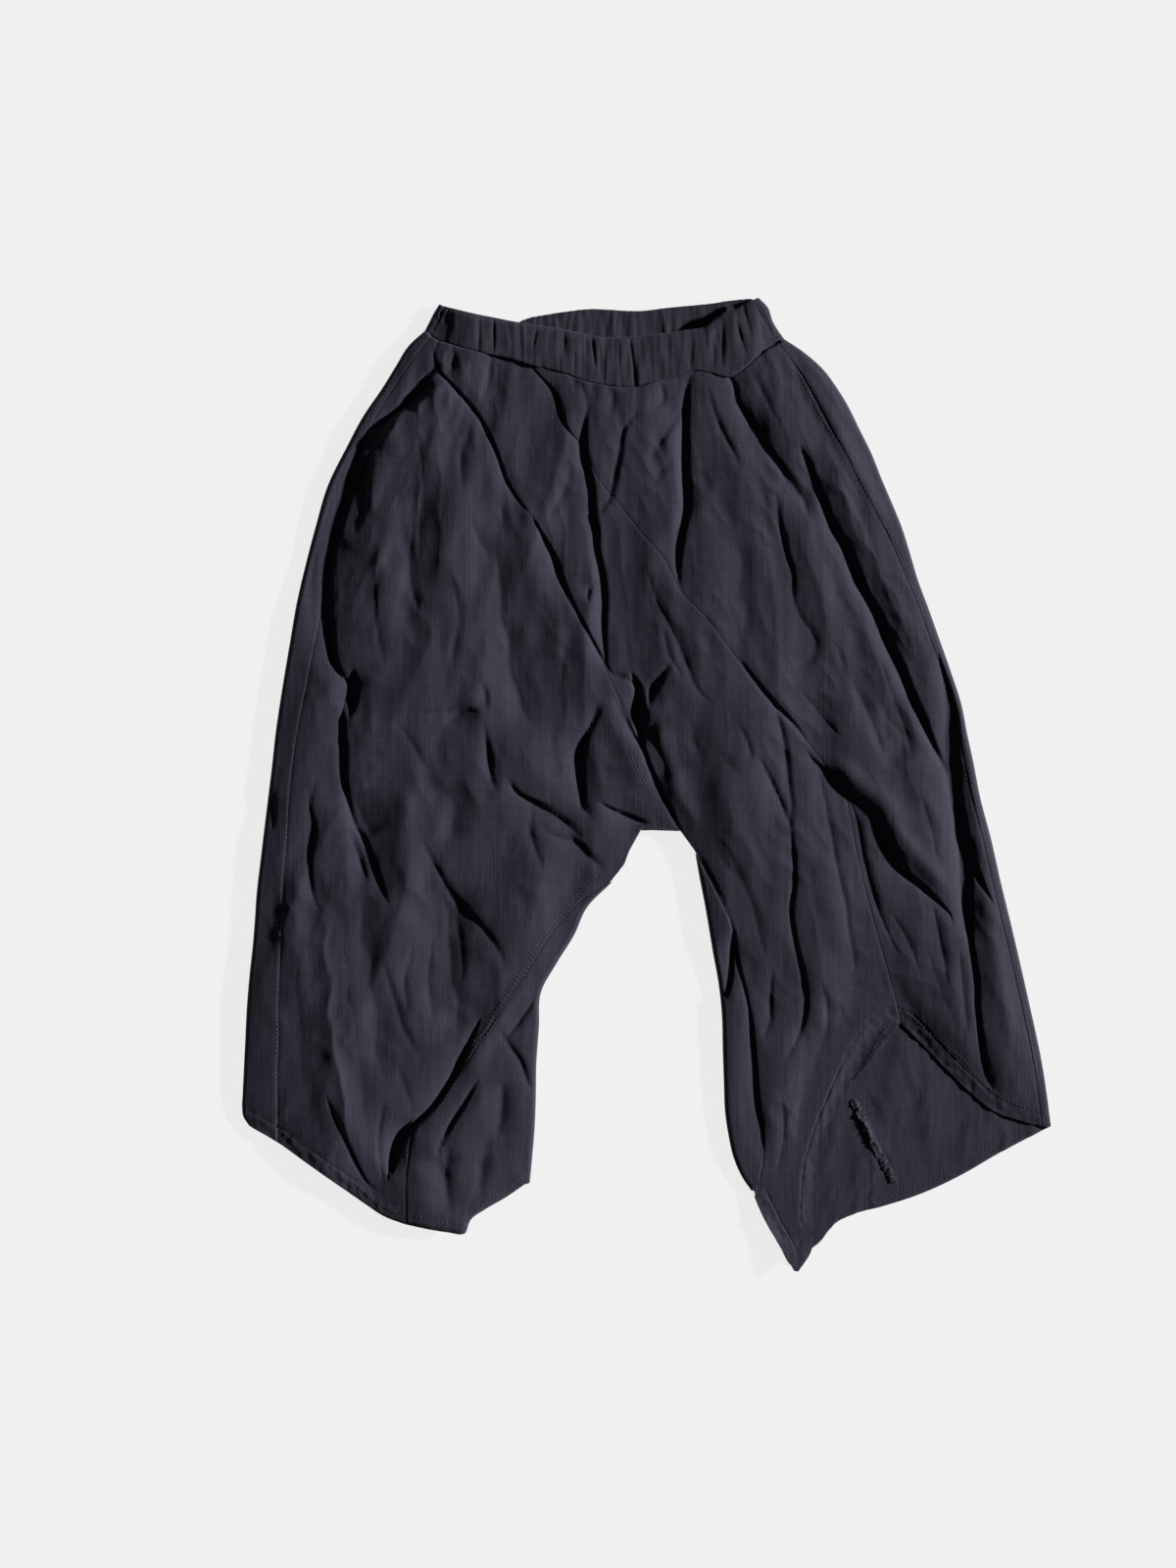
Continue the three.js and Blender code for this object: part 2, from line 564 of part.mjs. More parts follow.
function wrapPanel(name, rows, counts) {
  const made = rows.map((row) => wrapRow(row, counts));
  return wallBetween(name, made.map((row) => row.outer), made.map((row) => row.inner), cloth);
}

// Rows of plan points between two seams. The bends are the inner points of the rows that aren't straight.
const rungs = (starts, ends, bends) => starts.map((from, i) => [from, ...(bends[i] ?? []), ends[i]]);

const leftFrontBends = { 14: [[0, -32]], 15: [[-40, -44]], 27: [[-290, -342]], 28: leftHem };
const centreFrontBends = { 0: waistOfCentre, 1: [[-150, 381]] };
const rightFrontBends = {
  0: waistOfRight,
  1: [[-60, 355], [-30, 351], [0, 352], [45, 362], [76, 358], [105, 376]],
  2: [[-35, 338], [45, 346], [105, 356]],
  3: [[-35, 327], [45, 333], [105, 342]],
  4: [[-35, 317], [45, 321], [105, 329]],
  22: [[280, -196]],
  23: [[262, -228], [310, -262]],
  24: rightHem,
};

function leftFront() {
  const starts = leftSide.map((row) => row.seam);
  return frontPanel("left_front", rungs(starts, [...leftDiagonal, ...leftInseam], leftFrontBends), 30);
}

function centreFront() {
  const starts = [...leftDiagonal, ...rightInseam];
  return frontPanel("centre_front", rungs(starts, [...rightDiagonal, ...notchLeft], centreFrontBends), 15);
}

function rightFront() {
  const ends = rightSide.map((row) => row.seam);
  return frontPanel("right_front", rungs(rightDiagonal, ends, rightFrontBends), 24);
}

const leftInnerLeg = () => wrapPanel("left_inner_leg", leftInner, { top: 9, turn: 6, under: 2 });
const rightInnerLeg = () => wrapPanel("right_inner_leg", rightInner, { top: 3, turn: 6, under: 2 });

const backLeftBends = {
  0: [[-160, 392], [-120, 393], [-60, 392]],
  1: [[-160, 379], [-120, 371]],
  14: [[-8, -30]],
  27: [[-221, -372]],
  28: [...leftHem, [-221, -402], [-180, -408], [-160, -398]],
};

function backLeft() {
  const ends = [...centreBack, ...leftInseam.slice(0, 3), ...leftInner.map((row) => row.under)];
  const rows = leftSide.map((row, i) => ({ ...row, bends: backLeftBends[i], under: ends[i] }));
  return wrapPanel("back_left", rows, { top: 3, turn: 5, under: 8 });
}

// Rows of the back's right half: the place between rows of the right side, and the bends on the way under.
const backRightRows = [
  { at: 0, bends: [[103, 397], [60, 396], [0, 392]] },
  ...Array.from({ length: 13 }, (_, i) => ({ at: i + 1 })),
  { at: 14, bends: [[22, -30]] },
  { at: 15 },
  { at: 16 },
  { at: 16.5 },
  { at: 17 },
  { at: 17.5 },
  { at: 18 },
  { at: 19 },
  { at: 20 },
  { at: 20.5 },
  { at: 21, bends: [[220, -215]] },
  { at: 21.5, bends: [[230, -245]] },
  { at: 22, bends: [[290, -260], [200, -305]] },
  { at: 23, bends: [[300, -290], [216, -328], [150, -345]] },
  { at: 23.4, bends: [[300, -315], [216, -350], [150, -370]] },
  { at: 23.7, bends: [[300, -335], [216, -368], [150, -400], [125, -400]] },
  { at: 24, bends: backHem.slice().reverse() },
];

function backRight() {
  const ends = [...centreBack, [31, -43], ...rightInner.map((row) => row.under), [101, -380]];
  const rows = backRightRows.map(({ at, bends }, i) => {
    const above = Math.min(Math.floor(at), rightSide.length - 2);
    const [a, b] = [rightSide[above], rightSide[above + 1]];
    const between = (key) => mixPoint(a[key], b[key], at - above);
    return { edge: between("edge"), seam: between("seam"), bends, under: ends[i] };
  });
  return wrapPanel("back_right", rows, { top: 2, turn: 5, under: 11 });
}

// The back's part of the waistband, turned over at both ends to meet the front's.
function waistbandBack() {
  const heightAt = (x) => bandHeight(x, 0.5);
  const counts = { top: 2, turn: 6, under: 36 };
  const rows = backBand.map((row, i) => {
    const high = along([row.from, ...backRim, row.to], counts.under);
    const low = along([row.from, ...backBandSeam, row.to], counts.under);
    const middle = high.map((p, j) => mixPoint(p, low[j], i / (backBand.length - 1))).slice(2, -2);
    const atLeft = { seam: shortened(row.left, row.from), edge: row.from, out: unit(row.outLeft) };
    const atRight = { seam: shortened(row.right, row.to), edge: row.to, out: unit(row.outRight) };
    const left = turnedRow(atLeft, BAND_CLOTH, heightAt, counts);
    const right = turnedRow(atRight, BAND_CLOTH, heightAt, counts);
    return {
      outer: [...left.outer, ...middle.map(([x, y]) => [x, y, 0]), ...right.outer.reverse()],
      inner: [...left.inner, ...middle.map(([x, y]) => [x, y, BAND_CLOTH]), ...right.inner.reverse()],
    };
  });
  return wallBetween("waistband_back", rows.map((row) => row.outer), rows.map((row) => row.inner), bandCloth);
}

function waistbandFront() {
  const columns = 96;
  const ends = backBand[backBand.length - 1];
  const seam = [ends.left, ...waistOfCentre, rightDiagonal[0], ...waistOfRight, ends.right];
  const high = along(frontRim, columns);
  const low = along(seam, columns).map(([x, y]) => [x, y + SEAM_GAP]);
  const rows = [0, 0.5, 1].map((share) => {
    const plan = drawnIn(high.map((p, j) => mixPoint(p, low[j], share)), SEAM_GAP, SEAM_GAP);
    return {
      outer: plan.map(([x, y]) => [x, y, bandHeight(x, share)]),
      inner: plan.map(([x, y]) => [x, y, bandHeight(x, share) - BAND_CLOTH]),
    };
  });
  return wallBetween("waistband_front", rows.map((row) => row.outer), rows.map((row) => row.inner), bandCloth);
}

// The raw, overcast edge of the seam inside the back of the right leg: its line, half width and heights.
const allowance = {
  line: [[190, -290], [198, -306], [205, -322], [214, -340], [222, -354], [228, -366]],
  half: 3.6,
  edge: 1.4,
  crown: 2.0,
};

function seamAllowance() {
  const centres = along(allowance.line, 10);
  const lie = CLOTH + SEAM_GAP;
  const rows = centres.map((p, i) => {
    const ahead = direction(centres[Math.max(i - 1, 0)], centres[Math.min(i + 1, centres.length - 1)]);
    const place = (across, z) => [p[0] - ahead[1] * across, p[1] + ahead[0] * across, z];
    const spread = [-allowance.half, 0, allowance.half];
    const heights = [allowance.edge, allowance.crown, allowance.edge];
    return {
      outer: spread.map((across, k) => place(across, lie + heights[k])),
      inner: spread.map((across) => place(across, lie)),
    };
  });
  return wallBetween("seam_allowance", rows.map((row) => row.outer), rows.map((row) => row.inner), cloth);
}

const trousers = new THREE.Group();
trousers.add(
  leftFront(),
  centreFront(),
  rightFront(),
  leftInnerLeg(),
  rightInnerLeg(),
  backLeft(),
  backRight(),
  waistbandFront(),
  waistbandBack(),
  seamAllowance(),
);

export default trousers;
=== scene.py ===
# Drop-crotch trousers of dark washed cloth, laid flat with the front up.
# Tables are in millimetres in the frame's own axes: +X right, +Y to the waist, +Z up from the floor.
import math

import bpy
import numpy as np
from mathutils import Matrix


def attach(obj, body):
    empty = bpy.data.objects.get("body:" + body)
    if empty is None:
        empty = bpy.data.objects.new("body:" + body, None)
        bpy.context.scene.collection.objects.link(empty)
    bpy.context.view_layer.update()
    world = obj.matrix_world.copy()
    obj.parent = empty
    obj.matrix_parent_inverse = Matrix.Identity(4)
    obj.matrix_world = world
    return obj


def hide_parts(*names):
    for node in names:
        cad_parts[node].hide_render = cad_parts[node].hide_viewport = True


MILLIMETRE = 0.001

# How thick the cloth is, in one layer, in the doubled waistband and at the raw edge.
CLOTH = 0.9
BAND_CLOTH = 2.0
RAW_CLOTH = 0.7

# The gap between neighbours at a seam, and how close to a seam the next points lie.
SEAM_GAP = 0.1
LIP = 0.9

# The laid garment's height near its edge, how much it swells further in, and over what reach.
EDGE_HEIGHT = 8.0
PUFF_HEIGHT = 9.0
PUFF_REACH = 42.0

# The radius of the turn at the edge, its limit as a share of the way to the seam, and the columns of points
# over which the creases of the underside begin.
TURN = 5.0
TURN_SHARE = 0.6
SETTLE_COLUMNS = 3

# How low the front's outer face may sink, how low at the notch, where it lies on the back, how softly the
# limit sets in, and how far from the notch it changes.
LOWEST_FRONT = 4.2
LOWEST_AT_NOTCH = 2.05
LOWEST_SOFTNESS = 1.2
NOTCH_REACH = 16.0

# Near an edge the folds and the streaks fade out over these widths, down to these shares.
EDGE_FADE = 7.0
EDGE_SHARE = 0.12
STREAK_FADE = 30.0
STREAK_SHARE = 0.3

# The left wall of a fold has a narrow lip and a slope that reaches several times as far.
LIP_SHARE = 0.28
SLOPE_REACH = 4.0

# The right wall of a fold has a steep foot and a gentle shoulder. Shallow folds have a softer foot.
STEEP_SHARE = 0.62
STEEP_REACH = 0.34
STEEP_POWER = 1.6
SHOULDER_REACH = 1.9
CRISP_DEPTH = 4.2
SHALLOW_SOFTNESS = 0.42

# A fold grows shallow and narrow towards its ends.
LONGEST_TAPER = 70.0
TAPER_POWER = 0.75
LEAST_SPREAD = 0.12

# Facets and ridges fade out over a share of their length, and a facet's line wanders a little.
FACET_ENDS = 0.22
FACET_POWER = 1.2
FACET_WANDER = 1.6
RIDGE_ENDS = 0.2

# Streaks fan out from a point above the waist, and have their own width at this distance below it.
FAN_TOP = 950.0
FAN_REACH = 700.0

# The groove along each seam and row of stitches, and the hem: its depth, its extra height and its puckers.
SEAM_GROOVE = 0.3
SEAM_GROOVE_WIDTH = 0.8
HEM_DEPTH = 12.0
HEM_RAISE = 0.25
HEM_GROOVE_WIDTH = 0.9
HEM_PUCKER = 0.16

# The waistband swells between its two ends, its gathers are softer than folds, and its back part stays low.
BAND_SWELL = 5.5
BAND_LEFT = -195.0
BAND_RIGHT = 118.0
GATHER_SHARE = 0.55
MOST_BAND_LIFT = 2.6

# How far apart the rows of points are on the legs' inner sides and on the back.
FINE = 2.3
COARSE = 4.5


def table(columns, *rows):
    """Rows of values under the names of their columns."""
    return [dict(zip(columns, row)) for row in rows]


def column(rows, name):
    return [row[name] for row in rows]


# The left side, from the waist down: the laid garment's edge, and the side seam on its front.
LEFT_SIDE = table(
    ("edge", "seam"),
    ((-203.4, 415.4), (-197, 410)),
    ((-218, 402), (-209, 396)),
    ((-230, 383), (-221, 379)),
    ((-241, 365), (-233, 361)),
    ((-260, 337), (-250, 333)),
    ((-275, 309), (-261, 307)),
    ((-293, 272), (-274, 271)),
    ((-303, 238), (-284, 237)),
    ((-313, 200), (-291, 200)),
    ((-321, 165), (-297, 165)),
    ((-327, 130), (-304, 130)),
    ((-334, 88), (-312, 88)),
    ((-340, 48), (-320, 48)),
    ((-344, 12), (-325, 12)),
    ((-348, -20), (-328, -20)),
    ((-351, -45), (-329, -45)),
    ((-354, -70), (-331, -70)),
    ((-357, -95), (-333, -95)),
    ((-358, -106), (-333.5, -106)),
    ((-359, -122), (-334, -122)),
    ((-361, -147), (-335, -147)),
    ((-364, -175), (-336, -175)),
    ((-366.5, -205), (-337, -205)),
    ((-368, -235), (-337, -235)),
    ((-369.5, -265), (-338, -265)),
    ((-370.5, -285), (-338, -290)),
    ((-371, -297), (-338, -308)),
    ((-370, -305), (-338, -318)),
    ((-365, -313), (-338, -328)),
)

# The seams beside the centre panel: from the waist to the crotch, then down the leg's inner side.
LEFT_DIAGONAL = [
    (-191, 406), (-194, 393), (-189, 378), (-176, 364), (-152, 335), (-138, 308), (-126, 274), (-101, 238),
    (-82, 202), (-67, 165), (-49, 130), (-30, 88), (-12, 48), (8, 5), (31, -43),
]
LEFT_INSEAM = [
    (-5, -42), (-15, -60), (-24, -78), (-31, -87), (-61, -108), (-84, -133), (-103, -162), (-127, -198),
    (-150, -232), (-170, -263), (-190, -290), (-211, -312), (-219, -345), (-221, -403),
]
RIGHT_DIAGONAL = [
    (-107, 383), (-97, 372), (-84, 356), (-79, 340), (-74, 326), (-60, 311), (-45, 280), (-25, 256),
    (-5, 230), (18, 203), (30, 178), (56, 150), (83, 114), (110, 79), (135, 53), (152, 32), (165, 15),
    (180, -3), (186, -30), (193, -65), (201, -100), (211, -137), (221, -172), (229, -200), (233, -219),
]
RIGHT_INSEAM = [
    (44, -61), (56.5, -84), (68, -107), (78, -130), (82, -155), (88, -182), (94, -210), (98, -245),
    (100, -275), (103, -300), (106, -320), (107, -340), (104, -360), (99, -379), (108, -399), (119, -418),
    (129, -435), (135, -445.5),
]
# The centre panel's edge from the notch of the right leg down to its tip.
NOTCH_LEFT = [
    (210, -249), (186, -279), (171, -306), (158, -325), (155, -360), (153, -398), (151, -428), (139, -446),
]

# The right side, from the waist down.
RIGHT_SIDE = table(
    ("edge", "seam"),
    ((126.4, 408), (121, 403)),
    ((143, 397), (131, 390)),
    ((163, 379), (142, 373)),
    ((174, 364), (151, 357)),
    ((184, 348), (160, 340)),
    ((194, 328), (170, 321)),
    ((206, 304), (184, 297)),
    ((216, 279), (196, 273)),
    ((225, 258), (207, 253)),
    ((234, 236), (219, 231)),
    ((241, 214), (229, 210)),
    ((249, 187), (240, 184)),
    ((259, 160), (251, 157)),
    ((270, 129), (262, 126)),
    ((280, 101), (272, 98)),
    ((289, 73), (281, 71)),
    ((294, 47), (286, 45)),
    ((300, 19), (292, 17)),
    ((306, -12), (298, -14)),
    ((316, -50), (308, -52)),
    ((325, -90), (317, -92)),
    ((335, -131), (327, -133)),
    ((350, -196), (342, -198)),
    ((364, -262), (356, -264)),
    ((371.4, -314), (363, -315)),
)

# The legs' inner sides, from the crotch down: the edge beside each point of the inner seam, and where the
# cloth that turns under it ends.
LEFT_INNER = table(
    ("edge", "under"),
    ((-32, -90.5), (-42, -80)),
    ((-55, -114), (-66, -100)),
    ((-66, -138), (-84, -126)),
    ((-82, -164), (-102, -152)),
    ((-97, -192), (-118, -186)),
    ((-98.5, -222), (-122, -220)),
    ((-101, -258), (-124, -256)),
    ((-101.5, -290), (-125, -290)),
    ((-102.5, -315), (-126, -315)),
    ((-105, -345), (-128, -342)),
    ((-107, -366), (-130, -372)),
)
RIGHT_INNER = table(
    ("edge", "under"),
    ((44.9, -64.5), (53, -64)),
    ((48.5, -85), (63, -85)),
    ((53, -108), (71, -108)),
    ((57, -131), (77, -131)),
    ((61, -155), (82, -155)),
    ((66, -182), (87, -182)),
    ((69, -210), (90, -210)),
    ((70, -245), (92, -245)),
    ((71, -275), (93, -275)),
    ((72, -300), (94, -300)),
    ((75, -321), (97, -321)),
    ((80, -343), (101, -335)),
    ((88, -361), (105, -350)),
    ((96.6, -373.6), (109, -362)),
)

# Where the back's halves meet, from the waist down.
CENTRE_BACK = [
    (-30, 392), (-29, 372), (-28, 352), (-27, 335), (-26, 310), (-25, 285), (-24, 260), (-22, 230),
    (-20, 195), (-17, 160), (-12, 125), (-5, 85), (1, 45), (8, 5), (14, -38),
]

# The waist seam and the hems, between the corners of the panels.
WAIST_OF_CENTRE = [(-165, 398), (-150, 394), (-130, 390)]
WAIST_OF_RIGHT = [
    (-78, 376), (-55, 368), (-35, 364), (-8, 363), (10, 369), (30, 374), (45, 378), (60, 375), (76, 372),
    (92, 382), (105, 394),
]
LEFT_HEM = [(-320, -341), (-300, -355), (-280, -369), (-260, -383), (-240, -396)]
INNER_HEM = [(-200, -407), (-180, -410), (-164, -411), (-159, -399), (-145, -389), (-125, -378)]
RIGHT_HEM = [(260, -246), (280, -267), (300, -286), (320, -302), (340, -309)]
BACK_HEM = [
    (108, -398), (119, -417), (136, -443.5), (151, -427), (160, -420), (171, -405), (190, -395),
    (216, -388), (250, -377), (289, -359), (320, -341), (354, -323),
]

# The waistband's rims, its seam on the back, and its ends, which turn up from the back to the front.
FRONT_RIM = [
    (-183, 437), (-160, 431), (-140, 427), (-120, 423), (-100, 420), (-80, 417), (-60, 413), (-40, 409),
    (-20, 409), (0, 411), (20, 413), (40, 416), (52, 418), (61, 425), (70, 431), (80, 434), (90, 440),
    (96, 443),
]
BACK_RIM = [
    (-160, 431), (-140, 426), (-120, 423), (-110, 427), (-90, 431), (-70, 434), (-50, 436), (-30, 435),
    (-10, 434), (20, 437), (40, 439), (60, 441), (80, 444),
]
BACK_BAND_SEAM = [(-170, 402), (-120, 400), (-60, 393), (-30, 393), (0, 393), (60, 397), (100, 402)]
BACK_BAND = table(
    ("left", "from", "to", "right"),
    ((-183, 437.4), (-190, 440), (103, 446), (96, 443.4)),
    ((-187.7, 428.4), (-195, 432), (111.5, 437), (103.7, 431)),
    ((-192.3, 419.4), (-199, 424), (116, 424), (111.7, 418)),
    ((-196.8, 410.4), (-203.3, 415.8), (126.1, 408.4), (120.6, 403.5)),
)


def fold(depth, left, right, *line):
    """A trough: its depth, how far its left and right walls reach, and its line from the upper end down."""
    return {"depth": depth, "left": left, "right": right, "line": line}


# Folds that hang from the waistband.
UPPER_FOLDS = [
    fold(6.6, 10, 19, (45, 380), (40, 372), (36, 355), (35, 340), (34, 300), (35, 250), (30, 225),
         (28, 200), (31, 176)),
    fold(2.0, 6, 8, (35, 345), (20, 325), (5, 300), (-3, 290)),
    fold(1.6, 6, 8, (30, 305), (10, 280), (5, 270)),
    fold(6.8, 10, 20, (-52, 348), (-57, 330), (-58, 300), (-56, 290), (-52, 270), (-50, 245), (-48, 235),
         (-47, 215), (-42, 190), (-40, 170), (-40, 140), (-38, 120), (-36, 108)),
    fold(4.0, 9, 12, (-5, 342), (-20, 325), (-25, 300), (-30, 275), (-33, 262), (-38, 254), (-50, 246)),
    fold(3.0, 5, 7, (-45, 187), (-52, 178), (-54, 166)),
    fold(2.6, 10, 16, (-68, 292), (-75, 270), (-85, 252), (-100, 240)),
    fold(2.2, 6, 9, (-140, 400), (-143, 385), (-145, 370), (-150, 352)),
    fold(1.8, 5, 7, (-175, 396), (-177, 384), (-181, 374)),
    fold(1.6, 5, 8, (-68, 387), (-66, 372), (-66, 360)),
    fold(1.6, 5, 8, (-60, 367), (-57, 356), (-53, 343)),
    fold(2.6, 6, 9, (12, 368), (15, 352), (5, 340)),
    fold(1.8, 5, 8, (-30, 360), (-31, 348), (-34, 336)),
    fold(3.4, 6, 10, (70, 392), (68, 386), (73, 377), (80, 365), (83, 350), (92, 335), (100, 318)),
    fold(2.2, 8, 12, (92, 335), (110, 305), (125, 285), (140, 265), (150, 243)),
    fold(2.4, 7, 10, (56, 364), (62, 340), (68, 325), (76, 310), (82, 298), (85, 286)),
    fold(1.6, 7, 11, (85, 392), (95, 380), (100, 370), (108, 355), (115, 340), (122, 328)),
    fold(2.6, 5, 7, (118, 270), (120, 255), (122, 240), (125, 222), (130, 205), (134, 190), (134, 175),
         (137, 158)),
    fold(1.8, 8, 12, (137, 165), (142, 150), (150, 140), (155, 125), (150, 114), (135, 105), (131, 94)),
    fold(1.0, 8, 13, (160, 330), (166, 312), (170, 296), (178, 282)),
    fold(0.8, 7, 12, (186, 268), (196, 244), (206, 222), (214, 200)),
]

# Folds round the pocket and down the left front.
LEFT_FOLDS = [
    fold(9.0, 7, 15, (-186, 384), (-199, 374), (-212, 358), (-228, 342), (-258, 322)),
    fold(8.0, 8, 20, (-252, 330), (-265, 300), (-275, 270), (-283, 240), (-292, 200), (-293, 150),
         (-290, 130), (-288, 115), (-280, 100), (-270, 93), (-260, 89)),
    fold(2.2, 7, 10, (-250, 305), (-258, 282), (-258, 265), (-263, 240), (-268, 228)),
    fold(6.0, 8, 16, (-262, 88), (-275, 78), (-279, 60), (-278, 30), (-277, 0), (-272, -20), (-265, -40),
         (-254, -58)),
    fold(9.0, 5, 26, (-268, 104), (-271, 90), (-271, 76), (-272, 60)),
    fold(1.8, 14, 18, (-210, 322), (-205, 280), (-208, 240), (-207, 200)),
    fold(2.0, 12, 15, (-217, 225), (-215, 180), (-208, 158)),
    fold(1.6, 9, 14, (-160, 242), (-153, 222), (-144, 208)),
    fold(1.8, 10, 14, (-134, 256), (-132, 240), (-128, 224)),
    fold(3.2, 8, 10, (-236, 54), (-210, 62), (-180, 67), (-155, 73), (-146, 82)),
    fold(3.4, 8, 10, (-186, 57), (-170, 64), (-152, 68)),
    fold(2.4, 7, 8, (-150, 92), (-147, 80), (-147, 68)),
    fold(1.4, 6, 9, (-228, 54), (-215, 38), (-208, 25), (-199, 10)),
    fold(3.6, 8, 14, (-149, 57), (-145, 30), (-143, 10), (-138, -7)),
    fold(6.0, 7, 11, (-127, 6), (-118, -8), (-100, -18), (-80, -30), (-65, -42), (-58, -49)),
    fold(2.4, 6, 8, (-100, -39), (-85, -47), (-70, -52), (-56, -58)),
    fold(2.8, 7, 9, (-74, -42), (-64, -53), (-52, -66), (-38, -79)),
    fold(2.8, 9, 14, (-105, -18), (-106, -45), (-102, -60), (-94, -80)),
    fold(7.0, 8, 18, (-40, 76), (-50, 55), (-58, 40), (-63, 25), (-62, 10), (-60, -5), (-57, -22),
         (-46, -31)),
    fold(5.0, 7, 10, (-44, -16), (-30, -24), (-15, -30), (-5, -34), (4, -38)),
    fold(6.5, 7, 12, (-104, 243), (-95, 226), (-84, 205), (-76, 182), (-64, 158)),
    fold(3.2, 4, 7, (-196, 402), (-192, 380), (-178, 364), (-154, 336), (-140, 308), (-127, 274),
         (-106, 244)),
    fold(3.0, 4, 7, (-70, 168), (-58, 146), (-44, 120), (-30, 98)),
    fold(2.4, 4, 6, (-108, 384), (-97, 372), (-84, 356), (-79, 340), (-74, 326), (-58, 308)),
    fold(2.0, 14, 18, (-245, 205), (-248, 150), (-240, 108)),
    fold(2.2, 12, 16, (-178, 190), (-172, 150), (-180, 110)),
    fold(1.6, 10, 14, (-160, 330), (-170, 300), (-168, 268)),
    fold(1.2, 12, 18, (-70, 140), (-78, 100), (-80, 62), (-90, 30)),
    fold(1.8, 9, 12, (-300, 240), (-306, 200), (-308, 150)),
]

# Folds at the crotch, where the cloth loops over itself.
CROTCH_FOLDS = [
    fold(2.4, 5, 6, (-34, 101), (-24, 98), (-14, 94), (-7, 88)),
    fold(11.5, 7, 26, (-14, 102), (-9, 88), (-8, 70), (-7, 52), (-3, 34)),
    fold(5.0, 7, 12, (22, 110), (14, 98), (6, 86), (2, 70)),
    fold(4.6, 5, 8, (-30, 82), (-20, 62), (-12, 45), (-3, 32), (2, 18), (10, 0), (20, -20), (32, -46)),
    fold(2.6, 12, 16, (0, 197), (8, 170), (18, 150), (28, 130), (38, 105), (45, 88), (59, 73)),
    fold(1.8, 7, 9, (15, 142), (22, 115), (33, 98)),
    fold(1.8, 7, 9, (84, 54), (92, 38), (96, 23)),
    fold(0.8, 7, 9, (64, 32), (75, 18), (86, 8)),
    fold(1.0, 8, 11, (40, 60), (44, 36), (52, 12)),
]

# The long folds down the right front and the flap that lies over the leg.
RIGHT_FOLDS = [
    fold(4.0, 6, 10, (139, 312), (150, 288), (158, 268)),
    fold(8.8, 10, 21, (152, 284), (160, 262), (170, 235), (180, 218), (190, 195), (200, 172), (210, 155),
         (220, 130), (232, 105), (240, 85), (252, 58), (262, 36), (272, 18), (281, 5)),
    fold(11.0, 9, 26, (266, 120), (275, 92), (280, 70), (279, 40), (280, 10), (282, -10), (287, -40),
         (291, -70), (293, -110), (297, -145)),
    fold(4.6, 6, 9, (290, -70), (293, -110), (298, -150), (303, -185), (303, -200), (308, -240),
         (314, -270), (320, -290), (326, -304)),
    fold(5.0, 7, 12, (276, 96), (281, 60), (283, 20), (286, -20), (292, -60), (298, -90)),
    fold(5.0, 7, 10, (292, -44), (300, -72), (311, -98), (318, -110)),
    fold(3.6, 6, 8, (84, 116), (100, 94), (118, 72), (136, 54), (148, 38)),
    fold(3.4, 7, 8, (144, 36), (150, 25), (163, 12), (178, -6), (198, -22), (209, -36)),
    fold(5.6, 8, 12, (204, -28), (213, -47), (222, -64), (238, -83), (256, -98), (273, -114), (279, -121),
         (279, -130)),
    fold(2.2, 10, 14, (262, -110), (268, -140), (273, -165), (276, -184)),
    fold(2.0, 12, 16, (214, 112), (226, 78), (238, 46), (244, 18)),
    fold(2.0, 12, 16, (172, 130), (186, 96), (204, 62), (216, 28)),
    fold(2.2, 10, 14, (142, 84), (160, 62), (176, 44)),
    fold(1.8, 10, 14, (250, -10), (260, -40), (266, -68)),
    fold(2.0, 9, 12, (286, -150), (290, -190), (294, -226)),
    fold(0.8, 9, 13, (256, -150), (270, -190), (284, -226)),
]

# Folds down the right leg.
RIGHT_LEG_FOLDS = [
    fold(3.4, 9, 13, (115, 77), (122, 55), (127, 30), (130, 0), (133, -20), (131, -42)),
    fold(2.8, 5, 7, (131, -30), (134, -60), (135, -90), (132, -115), (136, -145), (143, -175), (146, -200),
         (143, -220), (135, -240), (124, -257)),
    fold(1.7, 6, 9, (156, 17), (162, -10), (168, -40), (175, -80), (182, -110), (185, -135), (190, -160),
         (192, -174)),
    fold(2.8, 7, 10, (102, 27), (115, 0), (122, -15), (128, -30), (133, -40)),
    fold(1.8, 6, 9, (184, -8), (193, -35), (198, -65), (203, -85), (212, -115), (225, -145), (232, -157)),
    fold(1.4, 6, 9, (224, -118), (240, -145), (250, -172)),
    fold(2.2, 6, 8, (115, -168), (113, -200), (112, -222), (104, -234)),
    fold(4.8, 7, 11, (156, -258), (150, -280), (148, -300), (153, -320), (152, -346)),
    fold(1.4, 8, 12, (74, -58), (88, -90), (98, -115), (105, -145), (109, -158)),
    fold(1.4, 3, 4, (36, -48), (48, -66), (60, -87), (72, -112), (78, -128)),
    fold(1.8, 4, 5, (76, -122), (80, -138), (82, -160), (90, -190), (95, -215), (98, -250)),
    fold(5.0, 6, 10, (94, -206), (98, -250), (101, -290), (106, -320), (105, -348)),
    fold(6.0, 6, 9, (80, -134), (78, -160), (76, -182), (69, -204)),
    fold(2.4, 8, 12, (160, -180), (166, -215), (160, -248)),
    fold(2.0, 8, 11, (176, -200), (186, -232), (190, -258)),
    fold(2.4, 8, 12, (124, -285), (126, -320), (122, -350), (126, -384)),
    fold(2.2, 7, 10, (140, -340), (142, -372), (138, -404)),
    fold(0.8, 8, 11, (62, -60), (76, -78), (92, -92)),
]

